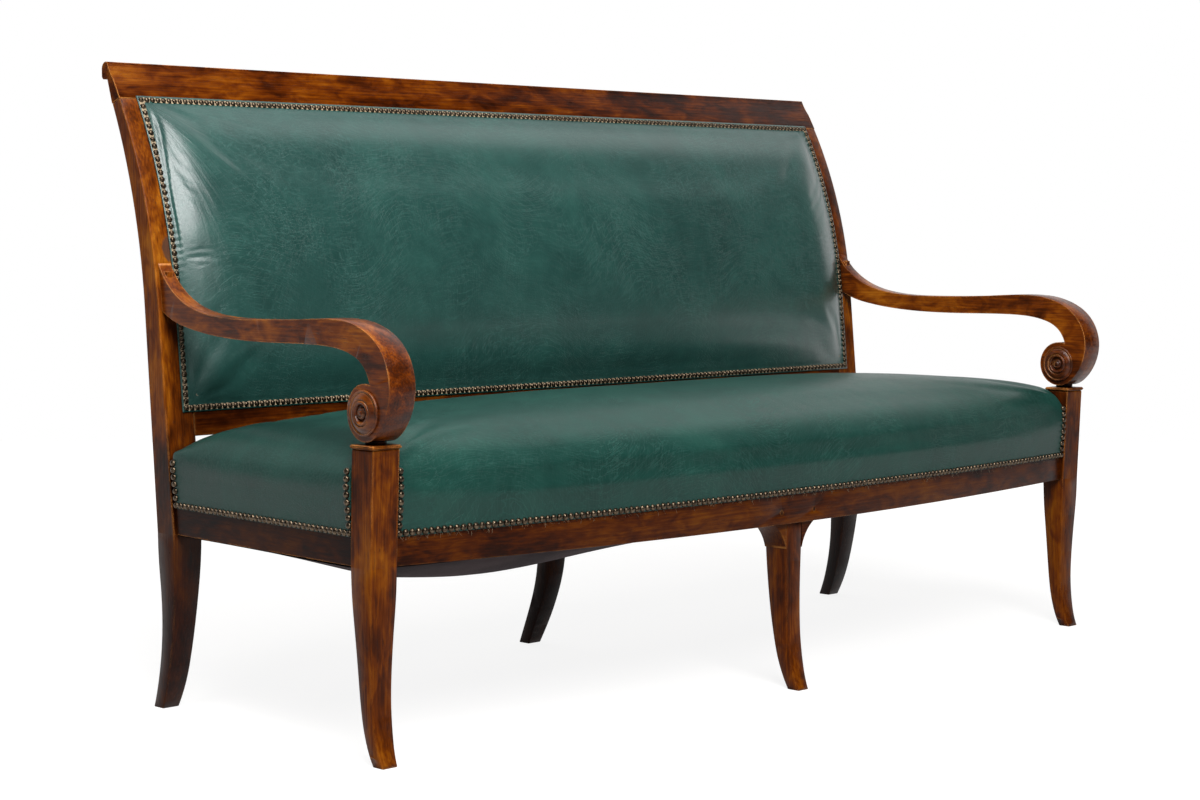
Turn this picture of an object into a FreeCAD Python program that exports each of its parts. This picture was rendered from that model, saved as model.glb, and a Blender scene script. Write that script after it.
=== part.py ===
import FreeCAD, Part
import math
import os

# Empire sofa: show-wood frame, stuffed-over leather seat and back, scrolled arms, six sabre legs.
# Millimetres. X runs along the sofa, Y from front to back, Z up. It is drawn with y = 0 at the front
# legs' top front edge, and moved at the end so that the origin lies under the middle of the whole part.

# Overall
front_length = 1696.0       # over the front legs' outer faces
rear_length = 1654.0        # over the rear posts' outer faces
seat_depth = 504.0          # front legs' top front edge to the rear posts' front face
fit_gap = 0.3               # room left between a soft piece and its neighbour
joint_gap = 0.1             # room round a tenon, dowel or peg
nail_gap = 0.5              # nails stand this far off the leather
curve_fit = 0.25            # freehand lines are tangent arcs within this of a spline

# Seat rails
rail_bottom = 276.0
rail_height = 80.0
front_rail_thickness = 40.0
rail_thickness = 32.0
rail_setback = 5.0          # rails' outer faces behind the faces of legs and posts
front_bow = 45.0            # how far the middle of the front rail stands forward of its ends
front_dip = 6.0             # how far the front rail's lower edge dips in the middle
webbing_rebate = 18.0       # front lip left below the level the webbing is tacked to

# Tenons
tenon_thickness = 11.0
tenon_length = 22.0
tenon_shoulder = 10.0       # rail left above and below its tenon
tenon_clear = 2.0           # wood left between the two tenons that meet in a front leg

# Front legs
leg_width = 47.0
leg_top_depth = 46.0
leg_knee_depth = 44.0       # depth at the rails' lower edge
leg_knee_back = 7.0         # front face at the knee stands behind its top edge
leg_top = 440.0
leg_waist_height = 140.0    # height of the slimmest curve on every leg
leg_waist_width = 38.0
leg_waist_depth = 31.0
leg_waist_hollow = 6.0      # how far the front face hollows back at the waist
leg_foot_width = 27.0
leg_foot_depth = 22.0
leg_kick = 11.0             # how far the toe kicks forward of the knee

# Front centre leg and its ears
centre_leg_width = 38.0
centre_leg_depth = 46.0
centre_leg_reveal = 8.0     # set back from the rail's face
centre_leg_waist_width = 33.0
centre_leg_waist_depth = 38.0
centre_leg_waist_hollow = 0.5
centre_leg_foot_width = 25.0
centre_leg_foot_depth = 24.0
centre_leg_kick = 22.0
ear_width = 28.0
ear_height = 42.0
ear_lip = 2.0               # thickness of an ear at its tip
ear_hollow = 4.6

# Rear centre leg
rear_leg_width = 40.0
rear_leg_depth = 38.0
rear_leg_waist_width = 37.0
rear_leg_waist_depth = 33.0
rear_leg_kick = 50.0
rear_leg_offset = -12.0     # stands a little to the left of the middle

# Rear posts
post_width = 52.0
post_knee_depth = 44.0
post_mid_depth = 38.0       # depth where the back begins to curve
post_waist_width = 42.0
post_waist_depth = 32.0
post_waist_hollow = 1.5
post_foot_width = 30.0
post_foot_depth = 25.0
post_kick = 32.0
back_rake = 5.4             # degrees, lean of the straight part
back_curve_start = 620.0    # height where the posts begin to curve backwards
back_curve_radius = 842.0
back_rear_radius = 940.0
crest_joint = 941.0         # height of the posts' tops at the front
crest_joint_drop = 8.0      # the joint falls this much towards the back

# Crest rail
crest_face = 29.0           # joint up to where the face turns into the rolled top
crest_roll_height = 28.0
crest_roll_hollow = 1.2
crest_top_back = 18.0       # top of the roll behind the shoulder
crest_roll_width = 13.0     # roll behind the top line
crest_crown_rise = 3.7
crest_lip_height = 22.0     # depth of the roll's rear face
crest_throat = 15.0         # overhang of the roll behind the crest
crest_bead_rise = 1.9
crest_tack_drop = 29.0      # lower edge of the crest between the posts, below the joint
crest_tenon_height = 22.0

# Lower back rail
back_rail_bottom = 423.0
back_rail_top = 490.0
back_rail_thickness = 20.0   # also the thickness of the crest's lower edge

# Arms
arm_rear_outset = 5.0       # arm's outer face inside the post's outer face
arm_rear_width = 24.5       # leaves the leather's edge and nails clear
arm_front_width = 45.0
arm_front_inset = 1.0
arm_post_top = 692.0        # upper and lower lines of the arm inside the post
arm_post_low = 622.0
arm_level_top = 609.5       # upper line at its lowest, and over the knuckle
arm_knuckle_top = 616.0
arm_level_low = 579.0
arm_reach = 36.0            # front of the scroll ahead of the legs' top front edge
scroll_radius = 40.0
scroll_y = 21.0
scroll_lift = 44.0          # centre of the scroll above the leg's cap
scroll_tip = 231.0          # degrees round the scroll where the arm's outer line runs in
scroll_lip = 109.0          # and where its inner line leaves
scroll_turn_height = 38.0   # widest point of the scroll above its centre
arm_tenon_height = 36.0
# Points of the arm's lines. Rear ones: ahead of the posts' face, above the level stretch.
# Front ones: behind the legs' top front edge, below the knuckle or the level stretch.
arm_upper_rear = [(-10.0, 42.0), (34.0, 18.0), (104.0, 3.0), (194.0, 0.0)]
arm_upper_front = [(160.0, 2.0), (88.0, 0.0), (25.0, 12.0)]
arm_lower_rear = [(174.0, 0.0), (64.0, 9.0), (-5.0, 24.0)]
arm_lower_front = [(27.0, 22.0), (72.0, 5.0), (150.0, 0.0)]
knuckle_back = 21.0         # the knuckle's steep stretch behind the front of the scroll
knuckle_drop = 38.0
throat_back = 8.0           # the arm's outer line level with the scroll's centre

# Turned rosettes, necks and caps
rosette_radius = 32.0
rosette_rim_height = 3.2
rosette_ring_radius = 16.0
rosette_ring_height = 7.0
rosette_well_radius = 9.0
rosette_well_height = 3.8
rosette_button_radius = 5.0
rosette_button_height = 7.6
rosette_spigot_radius = 5.0
rosette_spigot_length = 9.0
cap_height = 6.0
cap_overhang = 2.5
neck_radius = 15.0
neck_height = 8.0
dowel_radius = 7.0
dowel_length = 34.0
dowel_rise = 24.0           # dowel inside the scroll

# Cross bearer, corner blocks and pegs
bearer_width = 110.0
bearer_thickness = 22.0
bearer_lift = 2.0           # above the rails' lower edge
stub_height = 6.0           # stub tenons of the two centre legs
stub_width = 16.0
block_leg = 95.0
block_height = 45.0
block_drop = 12.0           # below the rails' upper edge
peg_radius = 3.5
peg_sides = 8               # pegs, dowels and spigots are whittled with eight flats
peg_spacing = 80.0
peg_length = 30.0

# Seat upholstery
leather = 2.0
seat_edge_drop = 44.0       # lower edge of the seat leather below the rails' upper edge
seat_nail_drop = 34.0
# The seat's form: height above the rails' upper edge, then how far front, sides and back draw in.
seat_shape = [(2.0, -4.0, -3.0, 0.0), (29.0, -6.0, -4.0, 24.0), (49.0, -4.0, -1.0, 52.0),
              (68.0, 4.0, 8.0, 90.0), (84.0, 24.0, 30.0, 136.0), (96.0, 56.0, 66.0, 172.0),
              (107.0, 100.0, 190.0, 206.0), (116.0, 150.0, 380.0, 240.0), (123.0, 205.0, 580.0, 270.0)]
nose_chords = 8             # straight pieces that stand for the bow where leather hides it
canvas_thickness = 1.5
web_thickness = 1.6
web_width = 50.0
web_rows = 4
web_columns = 10
spring_rows = 3
spring_columns = 8
spring_radius = 42.0
spring_waist = 28.0
spring_wire = 5.0
spring_height = 108.0
spring_clear = 12.6         # room between the bearer and the springs beside it
spring_sides = 5
canvas_slope = 45.0         # width of the sloping border of the spring canvas
cloth_thickness = 1.0
cloth_dip = 0.3             # share of its depth, from the front, where the cloth hangs lowest
# Share of the cloth's half length from the middle, and its sag there.
cloth_sags = [(-1.0, 3.4), (-0.93, 20.4), (-0.75, 32.3), (-0.45, 34.0), (-0.2, 20.4), (0.0, 6.0),
              (0.5, 14.0), (0.85, 8.4), (1.0, 1.4)]
cloth_notch = 1.0           # room where the cloth is cut round a centre leg

# Back upholstery
back_nail_side_inset = 37.0  # nail rows inside the posts' outer faces
back_nail_low_drop = 23.0   # below the lower back rail's upper edge
back_nail_high_drop = 2.0   # below the joint of posts and crest
back_flange = 7.0           # leather beyond the nails' centre line
back_swell = 30.0           # thickness of the stuffed back in the middle
back_edge = 26.0            # width of the rounded edge of the back
edge_chords = 4             # straight pieces that its rounding is drawn with
back_round = 80.0           # height over which its top and bottom edges round off
back_steps = (0.0, 0.12, 0.45)  # shares of that height where it is drawn
back_levels = 4             # steps that follow the curve of the back between them
back_shoulder = 0.8         # shares of the swelling where the rounded side edge ends
back_corner = 0.52          # and at its middle
back_foot_share = 0.12      # swelling at the very edge
back_crown_share = 0.12     # part of the swelling that only the middle has
back_border = 9.0           # nail row to the foot of the swelling
web_edge = 7.0              # webbing and canvas stop this far inside the cover
back_web_columns = 11
back_web_rows = 4

# Nails
nail_pitch = 11.6
nail_radius = 5.2
nail_height = 4.2
nail_sides = 4
nail_leg_rows = 8           # nails above the lowest row beside each front leg
nail_post_rows = 6          # and beside each post

V = FreeCAD.Vector
rake = math.radians(back_rake)
rail_top = rail_bottom + rail_height
leg_outer = front_length / 2
leg_inner = leg_outer - leg_width
post_outer = rear_length / 2
post_inner = post_outer - post_width
rail_front = leg_knee_back + rail_setback
rail_rear = seat_depth + post_knee_depth
bow_front = rail_front - front_bow
crest_shoulder = crest_joint + crest_face
crest_top = crest_shoulder + crest_roll_height
crest_tack_edge = crest_joint - crest_tack_drop
scroll_z = leg_top + cap_height + scroll_lift
seat_edge_low = rail_top - seat_edge_drop
seat_nail_height = rail_top - seat_nail_drop
seat_levels = [(seat_edge_low, 0, 0, 0)] + [(rail_top + row[0], *row[1:]) for row in seat_shape]
seat_crown = seat_levels[-1][0]
back_nail_side = post_outer - back_nail_side_inset
back_nail_low = back_rail_top - back_nail_low_drop
back_nail_high = crest_joint - back_nail_high_drop
full_turn = 360
along_x = V(1, 0, 0)
along_y = V(0, 1, 0)
middle = V(0, 0, 0)


# Small helpers for edges and solids

def line(a, b):
    return Part.LineSegment(a, b).toShape()


def arc(a, through, b):
    return Part.Arc(a, through, b).toShape()


def curve(points, start=None, end=None):
    spline = Part.BSplineCurve()
    if start and end:
        spline.interpolate(points, InitialTangent=start, FinalTangent=end)
    else:
        spline.interpolate(points)
    return [part.toShape() for part in spline.toBiArcs(curve_fit)]


def bulged(a, b, rise, axis):
    # Arc whose middle stands off its chord by rise, in the plane square to axis.
    side = (b - a).cross(axis).normalize()
    return arc(a, (a + b) / 2 + side * rise, b)


def polygon(points):
    return Part.Face(Part.makePolygon(points + points[:1]))


def box(x, y, z):
    return Part.makeBox(x[1] - x[0], y[1] - y[0], z[1] - z[0], V(x[0], y[0], z[0]))


def slab(edges, reach):
    return Part.Face(Part.Wire(Part.__sortEdges__(edges))).extrude(reach)


def eight_flats(radius, foot, along):
    turns = [2 * math.pi * (k + 0.5) / peg_sides for k in range(peg_sides)]
    ring = [V(0, radius * math.cos(a), radius * math.sin(a)) for a in turns]
    prism = polygon(ring).extrude(V(along.Length, 0, 0))
    prism.Placement = FreeCAD.Placement(foot, FreeCAD.Rotation(along_x, along))
    return prism


def faceted(faces):
    solid = Part.makeSolid(Part.makeShell(faces))
    return solid if solid.Volume > 0 else solid.reversed()


def stacked(loops):
    # Closed solid of flat triangles through level loops that have the same number of points.
    faces = [polygon(loops[0]), polygon(loops[-1])]
    for low, high in zip(loops, loops[1:]):
        for k in range(len(low)):
            faces.append(polygon([low[k - 1], low[k], high[k]]))
            faces.append(polygon([low[k - 1], high[k], high[k - 1]]))
    return faceted(faces)


def yz(y, z):
    return V(0, y, z)


def mirrored(shape):
    return shape.mirror(middle, along_x)


def grown(low, high, gap):
    return (low - gap, high + gap)


# The back's shape: a straight raked line and an arc that carries it backwards

arc_y = seat_depth + (back_curve_start - rail_bottom) * math.tan(rake) + back_curve_radius * math.cos(rake)
arc_z = back_curve_start - back_curve_radius * math.sin(rake)


def back_turn(forward):
    return arc_z + (back_curve_radius + forward) * math.sin(rake)


def back_y(z, forward=0.0):
    if z <= back_turn(forward):
        return seat_depth + (z - rail_bottom) * math.tan(rake) - forward / math.cos(rake)
    return arc_y - math.sqrt((back_curve_radius + forward) ** 2 - (z - arc_z) ** 2)


def back_lean(z):
    if z <= back_curve_start:
        return rake
    return math.asin((z - arc_z) / back_curve_radius)


def back_edges(low, high, forward):
    turn = back_turn(forward)
    a = yz(back_y(low, forward), low)
    b = yz(back_y(high, forward), high)
    if low >= turn:
        half = (low + high) / 2
        return [arc(a, yz(back_y(half, forward), half), b)]
    if high <= turn:
        return [line(a, b)]
    knee = yz(back_y(turn, forward), turn)
    half = (turn + high) / 2
    return [line(a, knee), arc(knee, yz(back_y(half, forward), half), b)]


def back_sheet(x, z, forward):
    near = back_edges(z[0], z[1], forward[0])
    far = back_edges(z[0], z[1], forward[1])
    ends = [line(near[0].Vertexes[0].Point, far[0].Vertexes[0].Point)]
    ends.append(line(near[-1].Vertexes[-1].Point, far[-1].Vertexes[-1].Point))
    face = Part.Face(Part.Wire(Part.__sortEdges__(near + far + ends)))
    face.translate(V(x[0], 0, 0))
    return face.extrude(V(x[1] - x[0], 0, 0))


# Sabre legs

def sabre_leg(width, depth, waist_width, waist_depth, hollow, foot_width, foot_depth, kick):
    # Centred on x = 0; the face that kicks out is at y = 0 at the knee and the leg lies behind it.
    down = V(0, 0, -1)
    out = V(0, -1, -2)
    waist = leg_waist_height
    face = curve([yz(0, rail_bottom), yz(hollow, waist), yz(-kick, 0)], down, out)
    heel = [yz(depth, rail_bottom), yz(hollow + waist_depth, waist), yz(foot_depth - kick, 0)]
    back = curve(heel, down, out)
    sole = line(yz(-kick, 0), yz(foot_depth - kick, 0))
    knee = line(yz(0, rail_bottom), yz(depth, rail_bottom))
    side = slab(face + back + [sole, knee], V(width, 0, 0))
    side.translate(V(-width / 2, 0, 0))

    def flank(sign):
        at = [(width, rail_bottom), (waist_width, waist), (foot_width, 0)]
        return curve([V(sign * w / 2, 0, z) for w, z in at], down, V(-sign * 0.1, 0, -1))

    top = line(V(-width / 2, 0, rail_bottom), V(width / 2, 0, rail_bottom))
    foot = line(V(-foot_width / 2, 0, 0), V(foot_width / 2, 0, 0))
    reach = depth + kick
    front = slab(flank(1) + flank(-1) + [foot, top], V(0, 3 * reach, 0))
    front.translate(V(0, -1.5 * reach, 0))
    return side.common(front)


def leg_head(width):
    corners = [(leg_knee_back, rail_bottom), (leg_knee_back + leg_knee_depth, rail_bottom),
               (leg_top_depth, leg_top), (0, leg_top)]
    return polygon([V(leg_inner, y, z) for y, z in corners]).extrude(V(width, 0, 0))


def front_leg_blank():
    leg = sabre_leg(leg_width, leg_knee_depth, leg_waist_width, leg_waist_depth, leg_waist_hollow,
                    leg_foot_width, leg_foot_depth, leg_kick)
    leg.translate(V(leg_outer - leg_width / 2, leg_knee_back, 0))
    return leg.fuse(leg_head(leg_width)).removeSplitter()


def post_blank():
    leg = sabre_leg(post_width, post_knee_depth, post_waist_width, post_waist_depth, post_waist_hollow,
                    post_foot_width, post_foot_depth, post_kick)
    leg.rotate(middle, V(0, 0, 1), 180)
    leg.translate(V(post_outer - post_width / 2, rail_rear, 0))
    front = back_edges(rail_bottom, crest_joint, 0)
    start = yz(rail_rear, rail_bottom)
    bend = yz(back_y(back_curve_start) + post_mid_depth, back_curve_start)
    lean = math.atan2(bend.y - start.y, bend.z - start.z)
    centre_y = bend.y + back_rear_radius * math.cos(lean)
    centre_z = bend.z - back_rear_radius * math.sin(lean)

    def rear_y(z):
        return centre_y - math.sqrt(back_rear_radius ** 2 - (z - centre_z) ** 2)

    top = crest_joint - crest_joint_drop
    half = (top + back_curve_start) / 2
    end = yz(rear_y(top), top)
    rear = [line(start, bend), arc(bend, yz(rear_y(half), half), end)]
    ends = [line(yz(seat_depth, rail_bottom), start), line(yz(back_y(crest_joint), crest_joint), end)]
    face = Part.Face(Part.Wire(Part.__sortEdges__(front + rear + ends)))
    face.translate(V(post_inner, 0, 0))
    stile = face.extrude(V(post_width, 0, 0))
    return leg.fuse(stile).removeSplitter(), end


# Seat rails

def bow_y(x, half, ends, bow):
    return ends - bow * (1 - (x / half) ** 2)


def bow_edge(half, ends, bow, z):
    return arc(V(-half, ends, z), V(0, ends - bow, z), V(half, ends, z))


def bowed_board(half, near, far, z):
    front = bow_edge(half, near, front_bow, z[0])
    rear = bow_edge(half, far, front_bow, z[0])
    ends = [line(V(s * half, near, z[0]), V(s * half, far, z[0])) for s in (-1, 1)]
    return slab([front, rear] + ends, V(0, 0, z[1] - z[0]))


def rail_tenon_heights():
    return (rail_bottom + tenon_shoulder, rail_top - tenon_shoulder)


def front_rail_tenon():
    y = rail_front + front_rail_thickness / 2
    depth = (y - tenon_thickness / 2, y + tenon_thickness / 2)
    return (leg_inner, leg_inner + tenon_length), depth, rail_tenon_heights()


def front_rail_blank():
    rear = rail_front + front_rail_thickness
    rail = bowed_board(leg_inner, rail_front, rear, (rail_bottom - front_dip, rail_top))
    lip = rail_front + webbing_rebate
    rebate = bowed_board(leg_inner, lip, rear + front_bow, (rail_bottom - front_dip, rail_bottom))
    rail = rail.cut(rebate)
    under = rail_bottom - 2 * front_dip
    low = [V(-leg_inner, 0, under), V(leg_inner, 0, under), V(leg_inner, 0, rail_bottom)]
    dip = arc(low[2], V(0, 0, rail_bottom - front_dip), V(-leg_inner, 0, rail_bottom))
    edges = [line(low[0], low[1]), line(low[1], low[2]), dip, line(V(-leg_inner, 0, rail_bottom), low[0])]
    scoop = slab(edges, V(0, 4 * front_bow, 0))
    scoop.translate(V(0, -2 * front_bow, 0))
    return rail.cut(scoop)


def side_rail_corners():
    front_y = leg_knee_back + leg_knee_depth
    front_x = leg_outer - rail_setback
    rear_x = post_outer - rail_setback
    return (front_x, front_y), (rear_x, seat_depth)


def side_rail_outer(y):
    (front_x, front_y), (rear_x, rear_y) = side_rail_corners()
    return front_x + (rear_x - front_x) * (y - front_y) / (rear_y - front_y)


def side_rail_blank():
    y0 = leg_knee_back + leg_knee_depth / 2
    y1 = seat_depth + post_knee_depth / 2
    outline = [V(side_rail_outer(y0), y0, rail_bottom), V(side_rail_outer(y1), y1, rail_bottom)]
    outline += [V(p.x - rail_thickness, p.y, p.z) for p in reversed(outline)]
    rail = polygon(outline).extrude(V(0, 0, rail_height))
    behind = [V(0, back_y(z), z) for z in (rail_bottom, rail_top)]
    behind += [V(0, rail_rear + post_knee_depth, z) for z in (rail_top, rail_bottom)]
    return rail.cut(leg_head(front_length)).cut(polygon(behind).extrude(V(front_length + rear_length, 0, 0)))


def side_rail_tenons():
    front_y = leg_knee_back + leg_knee_depth
    z = rail_tenon_heights()
    front_x = leg_inner + tenon_length + tenon_clear
    front = (front_x, front_x + tenon_thickness), (front_y - tenon_length, front_y + tenon_length / 2), z
    rear_x = side_rail_outer(seat_depth) - tenon_shoulder
    y = (seat_depth - tenon_length / 2, seat_depth + tenon_length)
    return front, ((rear_x - tenon_thickness, rear_x), y, z)


def rear_rail_tenon():
    y = rail_rear - rail_thickness / 2
    x = (post_inner, post_inner + tenon_length)
    return x, (y - tenon_thickness / 2, y + tenon_thickness / 2), rail_tenon_heights()


def back_rail_tenon():
    z = (back_rail_bottom + tenon_shoulder, back_rail_top - tenon_shoulder)
    y = back_y(sum(z) / 2) + back_rail_thickness / 2
    x = (post_inner, post_inner + tenon_length)
    return x, (y - tenon_thickness / 2, y + tenon_thickness / 2), z


def arm_tenon():
    middle_z = (arm_post_top + arm_post_low) / 2
    z = (middle_z - arm_tenon_height / 2, middle_z + arm_tenon_height / 2)
    y = back_y(middle_z)
    x = post_outer - arm_rear_outset - arm_rear_width / 2
    return (x - tenon_thickness / 2, x + tenon_thickness / 2), (y - tenon_length / 2, y + tenon_length), z


def crest_tongue(gap):
    # Follows the lean of the post, so that it stays inside both pieces.
    x = grown(post_inner + tenon_shoulder, post_outer - tenon_shoulder, gap)
    z = (crest_joint - crest_joint_drop - joint_gap, crest_joint + crest_tenon_height / 2 + gap)
    shoulder = (back_rail_thickness - tenon_thickness) / 2
    return back_sheet(x, z, (gap - shoulder, -shoulder - tenon_thickness - gap))


def mortise(tenon):
    x, y, z = tenon
    return box(grown(*x, joint_gap), grown(*y, joint_gap), grown(*z, joint_gap))


# Crest rail

def crest_profile(post_rear):
    foot = yz(back_y(crest_joint), crest_joint)
    shoulder = yz(back_y(crest_shoulder), crest_shoulder)
    top = yz(shoulder.y + crest_top_back, crest_top)
    lip_y = top.y + crest_roll_width
    lip_top = yz(lip_y, crest_top - crest_lip_height / 2)
    lip_low = yz(lip_y, crest_top - crest_lip_height)
    under = yz(lip_y - crest_throat / 2, lip_low.z - crest_throat / 3)
    throat = yz(lip_y - crest_throat, lip_low.z - crest_throat / 3)
    half = (crest_joint + crest_shoulder) / 2
    face = arc(foot, yz(back_y(half), half), shoulder)
    roll = bulged(shoulder, top, crest_roll_hollow, along_x)
    crown = bulged(top, lip_top, -crest_crown_rise, along_x)
    bead = bulged(lip_low, under, -crest_bead_rise, along_x)
    rear = [line(lip_top, lip_low), bead, line(under, throat), line(throat, post_rear), line(post_rear, foot)]
    return Part.Face(Part.Wire([face, roll, crown] + rear))


def crest_rail(post_rear):
    face = crest_profile(post_rear)
    face.translate(V(-post_outer, 0, 0))
    rail = face.extrude(V(rear_length, 0, 0))
    inner = (-post_inner + joint_gap, post_inner - joint_gap)
    edge = back_sheet(inner, (crest_tack_edge, crest_joint), (0, -back_rail_thickness))
    rail = rail.fuse(edge).removeSplitter()
    cut = crest_tongue(joint_gap)
    return rail.cut(cut).cut(mirrored(cut))


# Arms

def arm_outer(y):
    front = leg_outer - arm_front_inset
    rear = post_outer - arm_rear_outset
    return front + (rear - front) * y / seat_depth


def arm_width(y):
    return arm_front_width + (arm_rear_width - arm_front_width) * y / seat_depth


def arm_profile():
    centre = yz(scroll_y, scroll_z)

    def on_scroll(degrees):
        a = math.radians(degrees)
        return centre + yz(scroll_radius * math.cos(a), scroll_radius * math.sin(a))

    tip = on_scroll(scroll_tip)
    lip = on_scroll(scroll_lip)
    inside = seat_depth + post_knee_depth
    upper = [yz(inside, arm_post_top)]
    upper += [yz(seat_depth - ahead, arm_level_top + rise) for ahead, rise in arm_upper_rear]
    upper += [yz(y, arm_knuckle_top - drop) for y, drop in arm_upper_front]
    upper += [yz(knuckle_back - arm_reach, arm_knuckle_top - knuckle_drop)]
    upper += [yz(-arm_reach, scroll_z + scroll_turn_height), yz(throat_back - arm_reach, scroll_z), tip]
    lower = [lip] + [yz(y, arm_level_low - drop) for y, drop in arm_lower_front]
    lower += [yz(seat_depth - ahead, arm_level_low + rise) for ahead, rise in arm_lower_rear]
    lower += [yz(inside, arm_post_low)]
    lip_angle = scroll_lip + full_turn
    half_turn = (scroll_tip + lip_angle) / 2
    below = arc(tip, on_scroll((scroll_tip + half_turn) / 2), on_scroll(half_turn))
    above = arc(on_scroll(half_turn), on_scroll((half_turn + lip_angle) / 2), lip)
    end = line(lower[-1], upper[0])
    return Part.Face(Part.Wire(Part.__sortEdges__(curve(upper) + curve(lower) + [below, above, end])))


def arm_blank(post):
    face = arm_profile()
    plank = face.extrude(V(front_length + rear_length, 0, 0))
    front = -2 * arm_reach
    face_y = back_y(arm_post_low)
    rear = seat_depth + 2 * post_knee_depth
    stations = [(front, front), (face_y, face_y), (rear, face_y)]
    plan = [V(arm_outer(at), y, 0) for y, at in stations]
    plan += [V(arm_outer(at) - arm_width(at), y, 0) for y, at in reversed(stations)]
    return plank.common(polygon(plan).extrude(V(0, 0, crest_top))).cut(post)


def rosette_profile():
    # Half section along the turning axis: x outwards from the arm's face, y as radius.
    rim = [(0, 0), (0, rosette_radius), (rosette_rim_height, rosette_radius)]
    dish = [(rosette_ring_height, rosette_ring_radius), (rosette_well_height, rosette_well_radius)]
    button = [(rosette_button_height, rosette_button_radius), (rosette_button_height, 0)]
    return [V(x, y, 0) for x, y in rim + dish + button]


def set_on_arm(shape, outward):
    # Turn a shape made along +X to stand on the arm's slanted face at the scroll's centre.
    near = arm_outer(scroll_y)
    far = arm_outer(scroll_y + 1)
    if outward < 0:
        shape = mirrored(shape)
        near -= arm_width(scroll_y)
        far -= arm_width(scroll_y + 1)
    shape.rotate(middle, V(0, 0, 1), -math.degrees(math.atan(far - near)))
    shape.translate(V(near, scroll_y, scroll_z))
    return shape


def rosette():
    disc = polygon(rosette_profile()).revolve(middle, along_x, full_turn)
    disc = disc.fuse(eight_flats(rosette_spigot_radius, middle, V(-rosette_spigot_length, 0, 0)))
    disc.translate(V(joint_gap, 0, 0))
    return disc


def rosette_hole():
    return eight_flats(rosette_spigot_radius + joint_gap, middle, V(-rosette_spigot_length - joint_gap, 0, 0))


def stem_foot():
    return V(leg_outer - leg_width / 2, leg_top_depth / 2, leg_top + cap_height)


def collar(gap):
    return Part.makeCylinder(neck_radius + gap, neck_height, stem_foot() + V(0, 0, gap))


def dowel(gap):
    length = dowel_length + neck_height + dowel_rise + gap
    return eight_flats(dowel_radius + gap, stem_foot() - V(0, 0, dowel_length), V(0, 0, length))


def leg_cap():
    x = grown(leg_inner, leg_outer, cap_overhang)
    y = grown(0, leg_top_depth, cap_overhang)
    plate = box(x, y, (leg_top, leg_top + cap_height))
    rim = [e for e in plate.Edges if e.BoundBox.ZLength < 1]
    return plate.makeChamfer(cap_overhang * 0.7, rim)


# Seat upholstery

def draw_in(z):
    # How far the seat draws in at a height, and how fast, for the front, the sides and the back.
    for low, high in zip(seat_levels, seat_levels[1:]):
        if z <= high[0]:
            slope = [(b - a) / (high[0] - low[0]) for a, b in zip(low[1:], high[1:])]
            return [a + k * (z - low[0]) for a, k in zip(low[1:], slope)], slope
    return seat_levels[-1][1:], (0, 0, 0)


def seat_corners(front_in, side_in, rear_in, inset):
    # Inset 0 is the inside of the leather where it lies on the rails.
    ends = rail_front - fit_gap + front_in + inset
    rear = rail_rear + fit_gap - rear_in - inset
    spread = fit_gap - side_in - inset
    front_x = side_rail_outer(ends) + spread
    rear_x = side_rail_outer(rear) + spread
    return ends, rear, front_x, rear_x


def seat_outline(z, draw, inset):
    ends, rear, front_x, rear_x = seat_corners(*draw, inset)
    front = bow_y(front_x, leg_inner, ends, front_bow)
    nose = arc(V(-front_x, front, z), V(0, ends - front_bow, z), V(front_x, front, z))
    sides = [line(V(front_x, front, z), V(rear_x, rear, z)), line(V(rear_x, rear, z), V(-rear_x, rear, z))]
    sides.append(line(V(-rear_x, rear, z), V(-front_x, front, z)))
    return Part.Wire([nose] + sides)


def seat_loop(z, draw, inset):
    # The same outline where leather hides it, with chords for the bow.
    ends, rear, front_x, rear_x = seat_corners(*draw, inset)
    across = [front_x * (2 * k / nose_chords - 1) for k in range(nose_chords + 1)]
    nose = [V(x, bow_y(x, leg_inner, ends, front_bow), z) for x in across]
    return nose + [V(rear_x, rear, z), V(-rear_x, rear, z)]


def seat_form(inset):
    # The crowned seat; inset shrinks it all round.
    return Part.makeLoft([seat_outline(z, draw, inset) for z, *draw in seat_levels], True, True)


def seat_inside(inset, drop):
    return stacked([seat_loop(z - drop, draw, inset) for z, *draw in seat_levels])


def corner_room(gap):
    # Room for the front legs and the rear posts in everything soft on the seat.
    x = grown(leg_inner, leg_outer + 3 * rail_setback, gap)
    y = grown(-2 * leg_knee_depth, leg_knee_back + leg_knee_depth, gap)
    leg = box((x[0], x[1]), (y[0], y[1]), (rail_bottom, seat_crown))
    x = post_inner - gap
    side = [V(x, back_y(z) - gap, z) for z in (rail_bottom, seat_crown)]
    side += [V(x, rail_rear + 2 * post_knee_depth, z) for z in (seat_crown, rail_bottom)]
    post = polygon(side).extrude(V(2 * post_width, 0, 0))
    return [leg, mirrored(leg), post, mirrored(post)]


def without(shape, others):
    for other in others:
        shape = shape.cut(other)
    return shape


def canvas_form(lift):
    # Tent over the springs, tacked to the tops of the rails.
    low = rail_top + fit_gap + lift
    high = rail_bottom + spring_height + fit_gap + lift
    at_rail = rail_thickness / 2
    rise = at_rail + canvas_slope
    return stacked([seat_loop(low, 3 * [at_rail], 0), seat_loop(high, 3 * [rise], 0)])


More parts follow.
